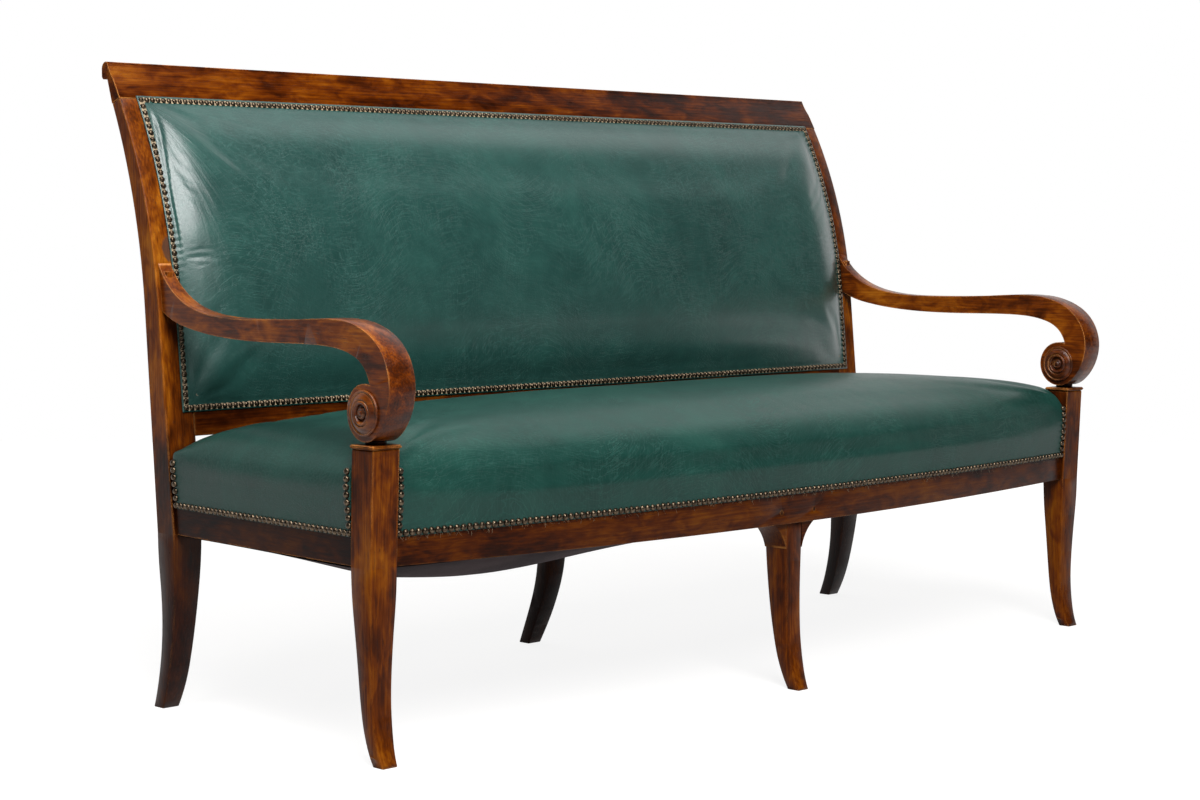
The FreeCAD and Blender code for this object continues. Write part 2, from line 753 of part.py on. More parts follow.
def spring():
    # A waisted coil, drawn as a thin-walled hourglass with flat sides.
    low = rail_bottom + fit_gap
    high = rail_bottom + spring_height - fit_gap
    stations = [(spring_radius, low), (spring_waist, (low + high) / 2), (spring_radius, high)]
    stations += [(r - spring_wire, z) for r, z in reversed(stations)]
    turns = [2 * math.pi * k / spring_sides for k in range(spring_sides + 1)]
    faces = []
    for (r0, z0), (r1, z1) in zip(stations, stations[1:] + stations[:1]):
        for a, b in zip(turns, turns[1:]):
            corners = [(r0, a, z0), (r0, b, z0), (r1, b, z1), (r1, a, z1)]
            faces.append(polygon([V(r * math.cos(t), r * math.sin(t), z) for r, t, z in corners]))
    return faceted(faces)


def seat_springs():
    first = bearer_width / 2 + spring_radius + spring_clear
    last = min(side_rail_outer(rail_rear), side_rail_outer(rail_front)) - rail_thickness - 2 * spring_radius
    columns = spring_columns // 2
    step = (last - first) / (columns - 1)
    depth = rail_rear - rail_thickness - rail_front - front_rail_thickness
    coil = spring()
    coils = []
    for row in range(spring_rows):
        y = rail_front + front_rail_thickness + depth * (row + 0.5) / spring_rows
        for column in range(columns):
            x = first + step * column
            for side in (-1, 1):
                one = coil.copy()
                one.translate(V(side * x, y, 0))
                coils.append(one)
    return Part.makeCompound(coils)


def web_strips(count, half):
    step = 2 * half / count
    return [-half + step * (k + 0.5) for k in range(count)]


def seat_webbing():
    upper = (rail_bottom - web_thickness - joint_gap, rail_bottom - joint_gap)
    lower = (upper[0] - web_thickness - joint_gap, upper[0] - joint_gap)
    half = leg_inner - web_width
    cross = []
    for x in web_strips(web_columns, half):
        front = bow_y(abs(x) - web_width / 2, leg_inner, rail_front, front_bow) + webbing_rebate
        front += front_bow * web_width / leg_inner + fit_gap
        cross.append(box((x - web_width / 2, x + web_width / 2), (front, rail_rear - tenon_shoulder), upper))
    first = leg_knee_back + leg_knee_depth + web_width
    step = (seat_depth - first) / web_rows
    level = []
    for k in range(web_rows):
        y = first + step * k
        x = side_rail_outer(y + web_width) - tenon_shoulder
        level.append(box((-x, x), (y, y + web_width), lower))
    return Part.makeCompound(cross), Part.makeCompound(level)


def bottom_cloth():
    # A slack sheet under the webbing, deepest near the front of the left bay.
    top = rail_bottom - 2 * web_thickness - 3 * joint_gap - fit_gap
    rear = rail_rear - tenon_shoulder
    drop = V(0, 0, -cloth_thickness)
    rows = []
    for share, sag in cloth_sags:
        front = bow_y(share * leg_inner, leg_inner, rail_front, front_bow) + webbing_rebate + tenon_shoulder
        dip = front + (rear - front) * cloth_dip
        across = [(front, top), (dip, top - sag), (rear, top)]
        rows.append([V(share * (side_rail_outer(y) - tenon_shoulder), y, z) for y, z in across])
    faces = []
    for near, far in zip(rows, rows[1:]):
        for k in range(len(near) - 1):
            for corners in ([near[k], far[k], far[k + 1]], [near[k], far[k + 1], near[k + 1]]):
                faces.append(polygon(corners))
                faces.append(polygon([p + drop for p in corners]))
        for k in (0, -1):
            faces.append(polygon([near[k], far[k], far[k] + drop, near[k] + drop]))
    for row in (rows[0], rows[-1]):
        faces.append(polygon(row + [p + drop for p in reversed(row)]))
    return faceted(faces)


# Back upholstery

def back_points(z, half, swell, base):
    # Half of a level section, from the side edge to the middle of the swelling.
    rear = back_y(z, base)
    crest = back_y(z, swell)
    side = half - back_edge
    corner = V(half - back_edge / 4, rear + (crest - rear) * back_corner, z)
    shoulder = V(side, rear + (crest - rear) * back_shoulder, z)
    quarter = V(side / 2, crest + (shoulder.y - crest) / 4, z)
    return [V(half, rear, z), corner, shoulder, quarter, V(0, crest, z)]


def across(points):
    return [V(-p.x, p.y, p.z) for p in points]


def back_section(points):
    foot, corner, shoulder, quarter, crest = points
    far = across(points)
    right = arc(foot, corner, shoulder).discretize(Number=edge_chords + 1)
    left = list(reversed(across(right)))
    front = arc(shoulder, crest, far[2])
    return Part.Wire([line(far[0], foot), *Part.makePolygon(right).Edges, front, *Part.makePolygon(left).Edges])


def back_loop(points):
    # The same section where leather hides it, with chords for its arcs.
    return points + list(reversed(across(points[:-1])))


def back_share(rise, height):
    # Share of the full swelling at a height above the lower edge of the back.
    edge = min(rise, height - rise, back_round) / back_round
    rounded = (1 - back_foot_share - back_crown_share) * (1 - (1 - edge) ** 3)
    return back_foot_share + rounded + back_crown_share * math.sin(math.pi * rise / height)


def back_stations(inset, base):
    # Sections of the stuffed back from its lower to its upper edge; inset shrinks it on all sides.
    low = back_nail_low + back_border + inset
    height = back_nail_high - back_border - inset - low
    half = back_nail_side - back_border - inset
    full = back_swell - inset
    near = [back_round * share for share in back_steps]
    flat = height - 2 * back_round
    between = [back_round + flat * k / back_levels for k in range(back_levels + 1)]
    rises = near + between + [height - rise for rise in reversed(near)]
    swells = [max(full * back_share(rise, height), base + leather) for rise in rises]
    return [back_points(low + rise, half, swell, base) for rise, swell in zip(rises, swells)]


def back_form(base):
    return Part.makeLoft([back_section(points) for points in back_stations(0, base)], True, True)


def back_inside(inset, base):
    return stacked([back_loop(points) for points in back_stations(inset, base)])


def back_cover(pad_room):
    x = back_nail_side + back_flange
    z = grown(back_nail_low, back_nail_high, back_flange)
    flange = back_sheet((-x, x), z, (fit_gap, fit_gap + leather))
    return flange.fuse(back_form(fit_gap)).cut(pad_room).removeSplitter()


def back_opening():
    edge = back_border + leather + web_edge
    return back_nail_side - edge, back_nail_low + edge, back_nail_high - edge


def back_webbing():
    x, low, high = back_opening()
    upright = back_sheet((-x, x), (low, high), (joint_gap, joint_gap + web_thickness))
    level = back_sheet((-x, x), (low, high), (2 * joint_gap + web_thickness, 2 * (joint_gap + web_thickness)))
    deep = (seat_depth - crest_top, seat_depth + crest_top)
    columns = [box((c - web_width / 2, c + web_width / 2), deep, (0, crest_top))
               for c in web_strips(back_web_columns, x)]
    centre = (low + high) / 2
    rows = [box((-x, x), deep, (centre + r - web_width / 2, centre + r + web_width / 2))
            for r in web_strips(back_web_rows, (high - low) / 2)]
    return (Part.makeCompound([upright.common(c) for c in columns]),
            Part.makeCompound([level.common(r) for r in rows]))


# Nails: low four-sided studs, each standing on the leather

def nail_stud():
    turns = [2 * math.pi * k / nail_sides for k in range(nail_sides)]
    base = [V(nail_radius * math.cos(a), nail_radius * math.sin(a), 0) for a in turns]
    peak = V(0, 0, nail_height)
    faces = [polygon(base)]
    for a, b in zip(base, base[1:] + base[:1]):
        faces.append(polygon([a, b, peak]))
    return faceted(faces)


def spaced(length):
    count = max(1, round(length / nail_pitch))
    return [length * k / count for k in range(count + 1)]


def placed(stud, at, normal):
    one = stud.copy()
    one.Placement = FreeCAD.Placement(at, FreeCAD.Rotation(V(0, 0, 1), normal))
    return one


def back_nails():
    stud = nail_stud()
    stand = fit_gap + leather + nail_gap
    nails = []

    def add(x, z):
        lean = back_lean(z)
        nails.append(placed(stud, V(x, back_y(z, stand), z), V(0, -math.cos(lean), math.sin(lean))))

    for step in spaced(2 * back_nail_side):
        for z in (back_nail_low, back_nail_high):
            add(step - back_nail_side, z)
    heights = []
    z = back_nail_low
    while z < back_nail_high - nail_pitch * 0.9:
        z += nail_pitch * math.cos(back_lean(z))
        heights.append(z)
    for z in heights[:-1]:
        for side in (-1, 1):
            add(side * back_nail_side, z)
    return Part.makeCompound(nails)


def seat_nails():
    stud = nail_stud()
    stand = fit_gap + leather + nail_gap
    nails = []
    half = leg_inner - nail_radius - fit_gap
    count = round(2 * half / nail_pitch)
    slope = 2 * front_bow / leg_inner

    def front(x, z):
        inward, lean = draw_in(z)
        y = bow_y(x, leg_inner, rail_front, front_bow) - stand + inward[0]
        nails.append(placed(stud, V(x, y, z), V(slope * x / leg_inner, -1, lean[0])))

    def side(y, z):
        inward, lean = draw_in(z)
        x = side_rail_outer(y) + stand - inward[1]
        for sign in (-1, 1):
            nails.append(placed(stud, V(sign * x, y, z), V(sign, 0, lean[1])))

    for k in range(count + 1):
        front(-half + 2 * half * k / count, seat_nail_height)
    column = [seat_nail_height + nail_pitch * (k + 1) for k in range(nail_leg_rows)]
    for z in column:
        for sign in (-1, 1):
            front(sign * half, z)
    near = leg_knee_back + leg_knee_depth + nail_radius + fit_gap
    far = seat_depth - nail_radius - fit_gap
    for step in spaced(far - near):
        side(near + step, seat_nail_height)
    for z in column:
        side(near, z)
    for z in column[:nail_post_rows]:
        side(far, z)
    return Part.makeCompound(nails)


# Assembly

def corner_block(y, toward, neighbours):
    # Glued into the angle of a side rail and the rail at y; toward is 1 at the front and -1 at the rear.
    z = rail_top - block_drop - block_height
    far = y + toward * block_leg
    near_x = side_rail_outer(y) - rail_thickness / 2
    outline = [V(near_x, y, z), V(near_x - block_leg, y, z), V(side_rail_outer(far) - rail_thickness / 2, far, z)]
    return without(polygon(outline).extrude(V(0, 0, block_height)), neighbours)


def peg(x, y, length, radius):
    z = rail_bottom + bearer_lift + bearer_thickness / 2
    return eight_flats(radius, V(x, y, z), V(0, length, 0))


def pegs(gap, reach):
    # Two through the front rail and two through the rear rail; gap and reach turn pegs into holes.
    found = []
    for x in (-peg_spacing / 2, peg_spacing / 2):
        front = bow_y(x, leg_inner, rail_front, front_bow)
        found.append(peg(x, front - reach, peg_length + reach + gap, peg_radius + gap))
        found.append(peg(x, rail_rear + reach, -peg_length - reach - gap, peg_radius + gap))
    return found


def build():
    nodes = {}

    def pair(name, right):
        nodes[name + "_right"] = right
        nodes[name + "_left"] = mirrored(right)

    post, post_end = post_blank()
    leg = front_leg_blank()
    front_rail = front_rail_blank()
    side_rail = side_rail_blank()
    between = (-post_inner, post_inner)
    rear_rail = box(between, (rail_rear - rail_thickness, rail_rear), (rail_bottom, rail_top))
    back_rail = back_sheet(between, (back_rail_bottom, back_rail_top), (0, -back_rail_thickness))

    # Cross bearer, tenoned into the front and rear rails and pinned
    bearer_low = rail_bottom + bearer_lift
    bearer_z = (bearer_low, bearer_low + bearer_thickness)
    bearer_x = (-bearer_width / 2, bearer_width / 2)
    inner_front = rail_front + front_rail_thickness - front_bow
    inner_rear = rail_rear - rail_thickness
    bearer = box(bearer_x, (inner_front, inner_rear), bearer_z).cut(front_rail)
    shoulder = bearer_thickness / 4
    tongue_z = (bearer_z[0] + shoulder, bearer_z[1] - shoulder)
    tongue_x = (bearer_x[0] + shoulder, bearer_x[1] - shoulder)
    tongue = (tongue_x, (inner_front - tenon_length, inner_rear + tenon_length), tongue_z)
    bearer = bearer.fuse(box(*tongue)).removeSplitter()
    front_rail = front_rail.cut(mortise(tongue))
    rear_rail = rear_rail.cut(mortise(tongue))
    holes = pegs(joint_gap, rail_setback)
    bearer = without(bearer, holes)
    front_rail = without(front_rail, holes)
    rear_rail = without(rear_rail, holes)

    # Tenons of the seat rails, the lower back rail and the arms
    tenons = [front_rail_tenon(), *side_rail_tenons(), rear_rail_tenon(), back_rail_tenon(), arm_tenon()]
    leg_joints = [mortise(t) for t in tenons[:2]]
    post_joints = [mortise(t) for t in tenons[2:]]
    front_tenon = box(*tenons[0])
    nodes["front_seat_rail"] = front_rail.fuse(front_tenon).fuse(mirrored(front_tenon)).removeSplitter()
    pair("side_seat_rail", side_rail.fuse(box(*tenons[1])).fuse(box(*tenons[2])).removeSplitter())
    rear_tenon = box(*tenons[3])
    nodes["rear_seat_rail"] = rear_rail.fuse(rear_tenon).fuse(mirrored(rear_tenon)).removeSplitter()
    low_tenon = box(*tenons[4])
    nodes["lower_back_rail"] = back_rail.fuse(low_tenon).fuse(mirrored(low_tenon)).removeSplitter()
    nodes["seat_cross_bearer"] = bearer
    nodes["rail_pegs"] = Part.makeCompound(pegs(0, 0))

    # Posts, crest and legs
    nodes["crest_rail"] = crest_rail(post_end)
    arm = arm_blank(post)
    pair("rear_post", without(post, post_joints).fuse(crest_tongue(0)).removeSplitter())
    stem = collar(0).fuse(dowel(0)).removeSplitter()
    dowel_room = dowel(joint_gap)
    pair("front_leg", without(leg, leg_joints).cut(dowel_room))
    pair("leg_cap", leg_cap().cut(dowel_room))
    nodes["arm_dowels"] = Part.makeCompound([stem, mirrored(stem)])

    # Arms and rosettes
    arm = arm.fuse(box(*tenons[5])).cut(collar(joint_gap)).cut(dowel_room)
    for name, outward in (("outer", 1), ("inner", -1)):
        arm = arm.cut(set_on_arm(rosette_hole(), outward))
        disc = set_on_arm(rosette(), outward)
        nodes["arm_rosettes_" + name] = Part.makeCompound([disc, mirrored(disc)])
    pair("arm", arm)

    # Centre legs
    centre = sabre_leg(centre_leg_width, centre_leg_depth, centre_leg_waist_width, centre_leg_waist_depth,
                       centre_leg_waist_hollow, centre_leg_foot_width, centre_leg_foot_depth, centre_leg_kick)
    centre_y = bow_front + centre_leg_reveal
    centre.translate(V(0, centre_y, 0))
    half = stub_width / 2
    stub_z = (rail_bottom - front_dip, rail_bottom + stub_height)
    stub_y = centre_y + centre_leg_depth / 2
    stub = ((-half, half), (stub_y - half, stub_y + half), stub_z)
    nodes["front_centre_leg"] = centre.cut(nodes["front_seat_rail"]).fuse(box(*stub)).removeSplitter()
    nodes["front_seat_rail"] = nodes["front_seat_rail"].cut(mortise(stub))
    ear_x = centre_leg_width / 2 + joint_gap
    ear = [line(V(ear_x, centre_y, rail_bottom), V(ear_x + ear_width, centre_y, rail_bottom))]
    ear_end = V(ear_x + ear_width, centre_y, rail_bottom - front_dip - ear_lip)
    ear_low = V(ear_x, centre_y, rail_bottom - front_dip - ear_height)
    ear.append(line(V(ear_x + ear_width, centre_y, rail_bottom), ear_end))
    ear.append(bulged(ear_end, ear_low, -ear_hollow, along_y))
    ear.append(line(ear_low, V(ear_x, centre_y, rail_bottom)))
    block = slab(ear, V(0, centre_leg_depth, 0))
    pair("centre_leg_ear", block.cut(nodes["front_seat_rail"]))
    rear_leg = sabre_leg(rear_leg_width, rear_leg_depth, rear_leg_waist_width, rear_leg_waist_depth, 0,
                         post_foot_width, post_foot_depth, rear_leg_kick)
    rear_leg.rotate(middle, V(0, 0, 1), 180)
    rear_leg.translate(V(rear_leg_offset, rail_rear, 0))
    stub_y = rail_rear - rail_thickness / 2
    stub_x = (rear_leg_offset - half, rear_leg_offset + half)
    stub = (stub_x, (stub_y - half, stub_y + half), stub_z)
    nodes["rear_centre_leg"] = rear_leg.fuse(box(*stub)).removeSplitter()
    nodes["rear_seat_rail"] = nodes["rear_seat_rail"].cut(mortise(stub))

    # Corner blocks glued into the angles of the seat frame
    around = [leg, post, nodes["front_seat_rail"], nodes["side_seat_rail_right"], nodes["rear_seat_rail"]]
    pair("corner_block_front", corner_block(rail_front + front_rail_thickness / 2, 1, around))
    pair("corner_block_rear", corner_block(rail_rear - rail_thickness / 2, -1, around))

    # Seat
    room = corner_room(fit_gap)
    nodes["seat_webbing_crosswise"], nodes["seat_webbing_lengthwise"] = seat_webbing()
    nodes["seat_springs"] = seat_springs()
    canvas = canvas_form(canvas_thickness).cut(canvas_form(0))
    nodes["seat_canvas"] = without(canvas, room)
    wide = (-front_length, front_length)
    above = box(wide, wide, (rail_top + fit_gap, 2 * seat_crown))
    filling = seat_inside(fit_gap, leather + fit_gap).common(above)
    filling = filling.cut(canvas_form(canvas_thickness + fit_gap)).cut(canvas_form(0))
    nodes["seat_stuffing"] = without(filling, room)
    cover = seat_form(-leather).cut(seat_inside(0, leather))
    nodes["seat_cover"] = without(cover, room)
    legs = [leg, mirrored(leg), post, mirrored(post)]
    ear_half = ear_x + ear_width + cloth_notch
    notch_y = (2 * bow_front, centre_y + centre_leg_depth + cloth_notch)
    front_notch = box((-ear_half, ear_half), notch_y, (0, rail_top))
    notch_x = grown(rear_leg_offset - rear_leg_width / 2, rear_leg_offset + rear_leg_width / 2, cloth_notch)
    notch_y = (rail_rear - rear_leg_depth - cloth_notch, 2 * rail_rear)
    rear_notch = box(notch_x, notch_y, (0, rail_top))
    nodes["bottom_cloth"] = without(bottom_cloth(), legs + [front_notch, rear_notch])

    # Back
    pad_room = back_inside(leather, -leather)
    nodes["back_cover"] = back_cover(pad_room)
    nodes["back_webbing_upright"], nodes["back_webbing_level"] = back_webbing()
    x, low, high = back_opening()
    behind = 2 * (joint_gap + web_thickness) + joint_gap
    nodes["back_canvas"] = back_sheet((-x, x), (low, high), (behind, behind + canvas_thickness))
    front_of = behind + canvas_thickness + fit_gap
    front_room = back_sheet(between, (back_rail_bottom, crest_joint), (front_of, 2 * back_swell))
    nodes["back_stuffing"] = back_inside(leather + fit_gap, -leather).common(front_room)
    rear_x = post_inner - fit_gap
    rear_z = (back_rail_bottom + back_flange, crest_joint - crest_joint_drop - back_flange)
    rear_t = (-back_rail_thickness - fit_gap, -back_rail_thickness - fit_gap - leather)
    nodes["outside_back_cover"] = back_sheet((-rear_x, rear_x), rear_z, rear_t)
    nodes["back_nails"] = back_nails()
    nodes["seat_nails"] = seat_nails()
    return nodes


def centred(nodes):
    whole = Part.makeCompound(list(nodes.values())).BoundBox
    shift = V(-(whole.XMin + whole.XMax) / 2, -(whole.YMin + whole.YMax) / 2, -whole.ZMin)
    for shape in nodes.values():
        shape.translate(shift)
    return nodes


os.makedirs("parts", exist_ok=True)
for name, shape in centred(build()).items():
    shape.exportStep("parts/" + name + ".step")
    print(name, len(shape.Solids), "solids", shape.isValid(), round(shape.Volume / 1000), "cm3")
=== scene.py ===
# Empire sofa: its looks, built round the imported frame. Metres, +X to the viewer's right, front towards -Y.
import math
import random
import bmesh
import bpy
import numpy as np
from mathutils import Matrix, Vector


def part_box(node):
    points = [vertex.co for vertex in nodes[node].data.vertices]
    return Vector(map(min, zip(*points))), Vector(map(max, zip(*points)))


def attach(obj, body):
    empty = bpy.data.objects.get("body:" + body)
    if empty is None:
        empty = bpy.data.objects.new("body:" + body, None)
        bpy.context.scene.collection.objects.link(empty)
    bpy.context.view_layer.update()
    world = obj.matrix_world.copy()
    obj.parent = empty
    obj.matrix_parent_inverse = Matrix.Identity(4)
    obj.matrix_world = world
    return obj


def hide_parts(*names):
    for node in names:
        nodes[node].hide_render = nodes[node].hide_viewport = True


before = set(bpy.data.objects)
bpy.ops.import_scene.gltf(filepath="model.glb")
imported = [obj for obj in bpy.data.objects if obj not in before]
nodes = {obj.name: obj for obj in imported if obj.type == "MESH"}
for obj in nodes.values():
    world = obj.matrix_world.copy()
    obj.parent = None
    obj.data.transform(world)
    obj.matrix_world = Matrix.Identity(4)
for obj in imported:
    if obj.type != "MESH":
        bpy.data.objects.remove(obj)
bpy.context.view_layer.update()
print("stage: frame loaded,", len(nodes), "nodes")

# Shader tools

class Wire:  # a shader socket that takes arithmetic
    def __init__(self, finish, socket):
        self.finish = finish
        self.socket = socket

    def maths(self, operation, first, second):
        return self.finish.node("Math", {"operation": operation}, {0: first, 1: second})

    def __add__(self, other):
        return self.maths("ADD", self, other)

    def __radd__(self, other):
        return self.maths("ADD", other, self)

    def __sub__(self, other):
        return self.maths("SUBTRACT", self, other)

    def __rsub__(self, other):
        return self.maths("SUBTRACT", other, self)

    def __mul__(self, other):
        return self.maths("MULTIPLY", self, other)

    def __rmul__(self, other):
        return self.maths("MULTIPLY", other, self)

    def __abs__(self):
        return self.maths("ABSOLUTE", self, 0.0)


def paint(text):  # "#rrggbb" as linear light
    shares = [int(text[k:k + 2], 16) / 255 for k in (1, 3, 5)]
    linear = [s / 12.92 if s <= 0.04045 else ((s + 0.055) / 1.055) ** 2.4 for s in shares]
    return (*linear, 1.0)


class Finish:  # one procedural material, or the world's
    def __init__(self, name, home="materials"):
        self.material = getattr(bpy.data, home).new(name)
        self.material.use_nodes = True
        self.tree = self.material.node_tree
        self.tree.nodes.clear()
        self.here = self.node("TexCoord", {}, {}, "Object")

    def node(self, kind, settings, inputs, output=0):
        made = self.tree.nodes.new("ShaderNode" + kind)
        for key, value in settings.items():
            if key == "stops":
                self.fill(made.color_ramp, value)
            else:
                setattr(made, key, value)
        for key, value in inputs.items():
            if isinstance(value, Wire):
                self.tree.links.new(value.socket, made.inputs[key])
            else:
                made.inputs[key].default_value = value
        if made.outputs:
            return Wire(self, made.outputs[output])

    def fill(self, ramp, stops):
        for place, colour in stops[2:]:
            ramp.elements.new(place)
        for element, (place, colour) in zip(ramp.elements, stops):
            element.position = place
            element.color = paint(colour)

    def noise(self, place, scale, detail=2.0, distortion=0.0):
        inputs = {"Vector": place, "Scale": scale, "Detail": detail, "Distortion": distortion}
        return self.node("TexNoise", {}, inputs)

    def stretch(self, scales, place=None):
        return self.node("VectorMath", {"operation": "MULTIPLY"}, {0: place or self.here, 1: scales})

    def band(self, value, low, high):  # 0 below low, 1 above high
        return self.node("MapRange", {"interpolation_type": "SMOOTHSTEP"}, {0: value, 1: low, 2: high})

    def mix(self, factor, first, second, blend="MIX"):
        return self.node("Mix", {"data_type": "RGBA", "blend_type": blend},
                         {0: factor, 6: first, 7: second}, 2)

    def ridge(self, value, width):  # thin lines where a noise crosses its middle
        return 1.0 - self.band(abs(value - 0.5), 0.0, width)

    def bump(self, height, distance, strength=1.0):
        return self.node("Bump", {}, {"Height": height, "Distance": distance, "Strength": strength})

    def surface(self, inputs):
        shader = self.node("BsdfPrincipled", {}, inputs)
        self.show(shader)
        return self.material

    def show(self, shader, kind="OutputMaterial"):
        self.node(kind, {}, {"Surface": shader})

    def seen(self):  # 1 for camera, glossy and transmission rays
        rays = [self.node("LightPath", {}, {}, name)
                for name in ("Is Camera Ray", "Is Glossy Ray", "Is Transmission Ray")]
        either = self.node("Math", {"operation": "MAXIMUM"}, {0: rays[0], 1: rays[1]})
        return self.node("Math", {"operation": "MAXIMUM"}, {0: either, 1: rays[2]})


# Finishes

timber = {
    "drawn": 0.45,  # how far the figure is pulled along the grain
    "fibred": 0.035,
    "cloud": (13.0, 4.0, 0.7),  # noise scale, detail, distortion
    "mottle": (48.0, 6.0, 0.9),
    "streak": (330.0, 4.0),
    "pores": (900.0, 1.0),
    "poreBand": (0.62, 0.72),
    "weights": (0.6, 0.4, 0.3),  # cloud, mottle, streak
    "shift": 0.15,
    "stops": [(0.30, "#1c0b03"), (0.42, "#472006"), (0.51, "#6b3508"), (0.60, "#8c500d"),
              (0.74, "#b0731d")],
    "arris": 0.0035,
    # arrises worn pale, which also paints the highlight along each arris
    "wornAndHighlitBand": (0.015, 0.12),
    "patchBand": (0.36, 0.6),
    "paintedCreviceShadeBand": (0.35, 0.85),
    "paintedLowShadeBand": (0.2, 0.5),  # heights between which the painted shade fades out and the legs brighten
    "scuffBand": (0.017, 0.020),
    "pore": "#1c0b03",
    # colour of worn arrises, pale enough to paint their highlight as well
    "bare": "#d08a48",
    # colour of the painted shade in crevices and joints
    "paintedCreviceShade": "#140804",
    "scuff": "#4a3830",
}


def walnut(name, grain, tone, wearAndHighlight=1.0, paintedLowShade=None, gloss=0.3, creviceDepth=0.03, scuff=None):
    f = Finish(name)
    axis = "xyz".index(grain)
    drawn = f.stretch([timber["drawn"] if k == axis else 1.0 for k in range(3)])
    fibred = f.stretch([timber["fibred"] if k == axis else 1.0 for k in range(3)])
    cloud = f.noise(drawn, *timber["cloud"])
    mottle = f.noise(drawn, *timber["mottle"])
    streak = f.noise(fibred, *timber["streak"])
    pores = f.band(f.noise(fibred, *timber["pores"]), *timber["poreBand"])
    large, middling, small = timber["weights"]
    figure = cloud * large + mottle * middling + streak * small - timber["shift"]
    stained = f.node("ValToRGB", {"stops": timber["stops"]}, {0: figure})
    # worn arrises, lightened so that they also paint a highlight along each edge
    rounded = f.node("Bevel", {"samples": 5}, {"Radius": timber["arris"]})
    plain = f.node("NewGeometry", {}, {}, "Normal")
    turned = f.node("VectorMath", {"operation": "DOT_PRODUCT"}, {0: rounded, 1: plain}, "Value")
    patchy = f.band(f.noise(f.here, 24.0, 3.0), *timber["patchBand"])
    wornAndHighlit = f.band(1.0 - turned, *timber["wornAndHighlitBand"]) * patchy * wearAndHighlight
    # painted shade: ambient occlusion darkens crevices, joints and grooves
    openAir = f.node("AmbientOcclusion", {"samples": 5}, {"Distance": creviceDepth}, "AO")
    paintedCreviceShade = f.band(1.0 - openAir, *timber["paintedCreviceShadeBand"])
    toned = f.mix(1.0, stained, paint(tone), "MULTIPLY")
    if paintedLowShade:  # painted shade: darker towards the floor
        height = f.node("SeparateXYZ", {}, {0: f.here}, "Z")
        toned = f.mix(1.0 - f.band(height, *timber["paintedLowShadeBand"]), toned, paint(paintedLowShade), "MULTIPLY")
    dark = f.mix(pores * 0.5, toned, paint(timber["pore"]))
    edgedAndHighlit = f.mix(wornAndHighlit * 0.85, dark, paint(timber["bare"]))
    colour = f.mix(paintedCreviceShade * 0.75, edgedAndHighlit, paint(timber["paintedCreviceShade"]))
    if scuff:  # a worn grey patch
        off = f.node("VectorMath", {"operation": "SUBTRACT"}, {0: f.here, 1: scuff})
        far = f.node("VectorMath", {"operation": "LENGTH"}, {0: f.stretch((1.0, 0.4, 0.62), off)}, "Value")
        bare = 1.0 - f.band(far + 0.012 * mottle, *timber["scuffBand"])
        colour = f.mix(bare * 0.8, colour, paint(timber["scuff"]))
    rough = 0.24 + 0.14 * mottle + 0.12 * pores + 0.1 * paintedCreviceShade
    normal = f.bump(streak * 0.4 - pores, 0.0003, 0.5)
    return f.surface({"Base Color": colour, "Roughness": rough, "Normal": normal,
                      "Specular IOR Level": gloss})


hide = {
    "wander": (4.0, 1.0),  # scale and detail of the noise that bends the lines
    "bend": 0.24,
    "broad": (6.0, 3.0, 0.6),  # noise scale, detail, distortion
    "blotch": (34.0, 3.0),
    "hairs": ((0.16, 0.8, 1.6), 120.0, 0.035),  # pull, scale, line width
    "cross": ((1.5, 0.8, 0.16), 100.0, 0.03),
    "patchBand": (0.3, 0.7),
    "pebble": 520.0,
    "fan": 4.0,  # height of the creases that run from the corner
    "fanBand": (0.12, 0.55),
    "stops": [(0.25, "#173a35"), (0.5, "#1e4640"), (0.75, "#27544c")],
    "line": "#4d8279",
    "lift": 0.0009,
    "coatRough": 0.28,
}


def leather(name, corner=None, coat=0.6, gloss=0.35, tone="#ffffff"):
    f = Finish(name)
    scale, detail = hide["wander"]
    wander = f.node("TexNoise", {}, {"Vector": f.here, "Scale": scale, "Detail": detail}, "Color")
    bend = (hide["bend"],) * 3
    shifted = f.node("VectorMath", {"operation": "MULTIPLY_ADD"}, {0: wander, 1: bend, 2: f.here})
    broad = f.noise(f.here, *hide["broad"])
    blotch = f.noise(f.here, *hide["blotch"])

    def scratches(pull, scale, width):
        return f.ridge(f.noise(f.stretch(pull, shifted), scale), width)

    patches = f.band(f.noise(f.here, 9.0), *hide["patchBand"])
    lines = (scratches(*hide["hairs"]) * 0.7 + scratches(*hide["cross"]) * 0.4) * (0.25 + 0.75 * patches)
    pebble = f.node("TexVoronoi", {"feature": "SMOOTH_F1"}, {"Vector": f.here, "Scale": hide["pebble"]})
    creases = lines * -0.7 + pebble * 0.35 + blotch * 1.2
    if corner:
        east = f.node("SeparateXYZ", {}, {0: f.here}, "X") - corner[0]
        down = corner[1] - f.node("SeparateXYZ", {}, {0: f.here}, "Z")
        angle = f.node("Math", {"operation": "ARCTAN2"}, {0: down, 1: east})
        reach = f.node("Math", {"operation": "POWER"}, {0: east * east + down * down, 1: 0.5})
        polar = f.node("CombineXYZ", {}, {0: angle * 9.0, 1: reach * 5.0})
        fan = f.noise(polar, 1.6, 2.0, 0.5) * (1.0 - f.band(reach, *hide["fanBand"]))
        creases = creases + fan * hide["fan"]
    dyed = f.node("ValToRGB", {"stops": hide["stops"]}, {0: broad * 0.6 + blotch * 0.4})
    scored = f.mix(lines * 0.28, dyed, paint(hide["line"]))
    colour = f.mix(1.0, scored, paint(tone), "MULTIPLY")
    rough = 0.36 + 0.12 * blotch + 0.1 * lines
    normal = f.bump(creases, hide["lift"], 0.65)
    return f.surface({"Base Color": colour, "Roughness": rough, "Normal": normal,
                      "Specular IOR Level": gloss, "Coat Weight": coat,
                      "Coat Roughness": hide["coatRough"]})


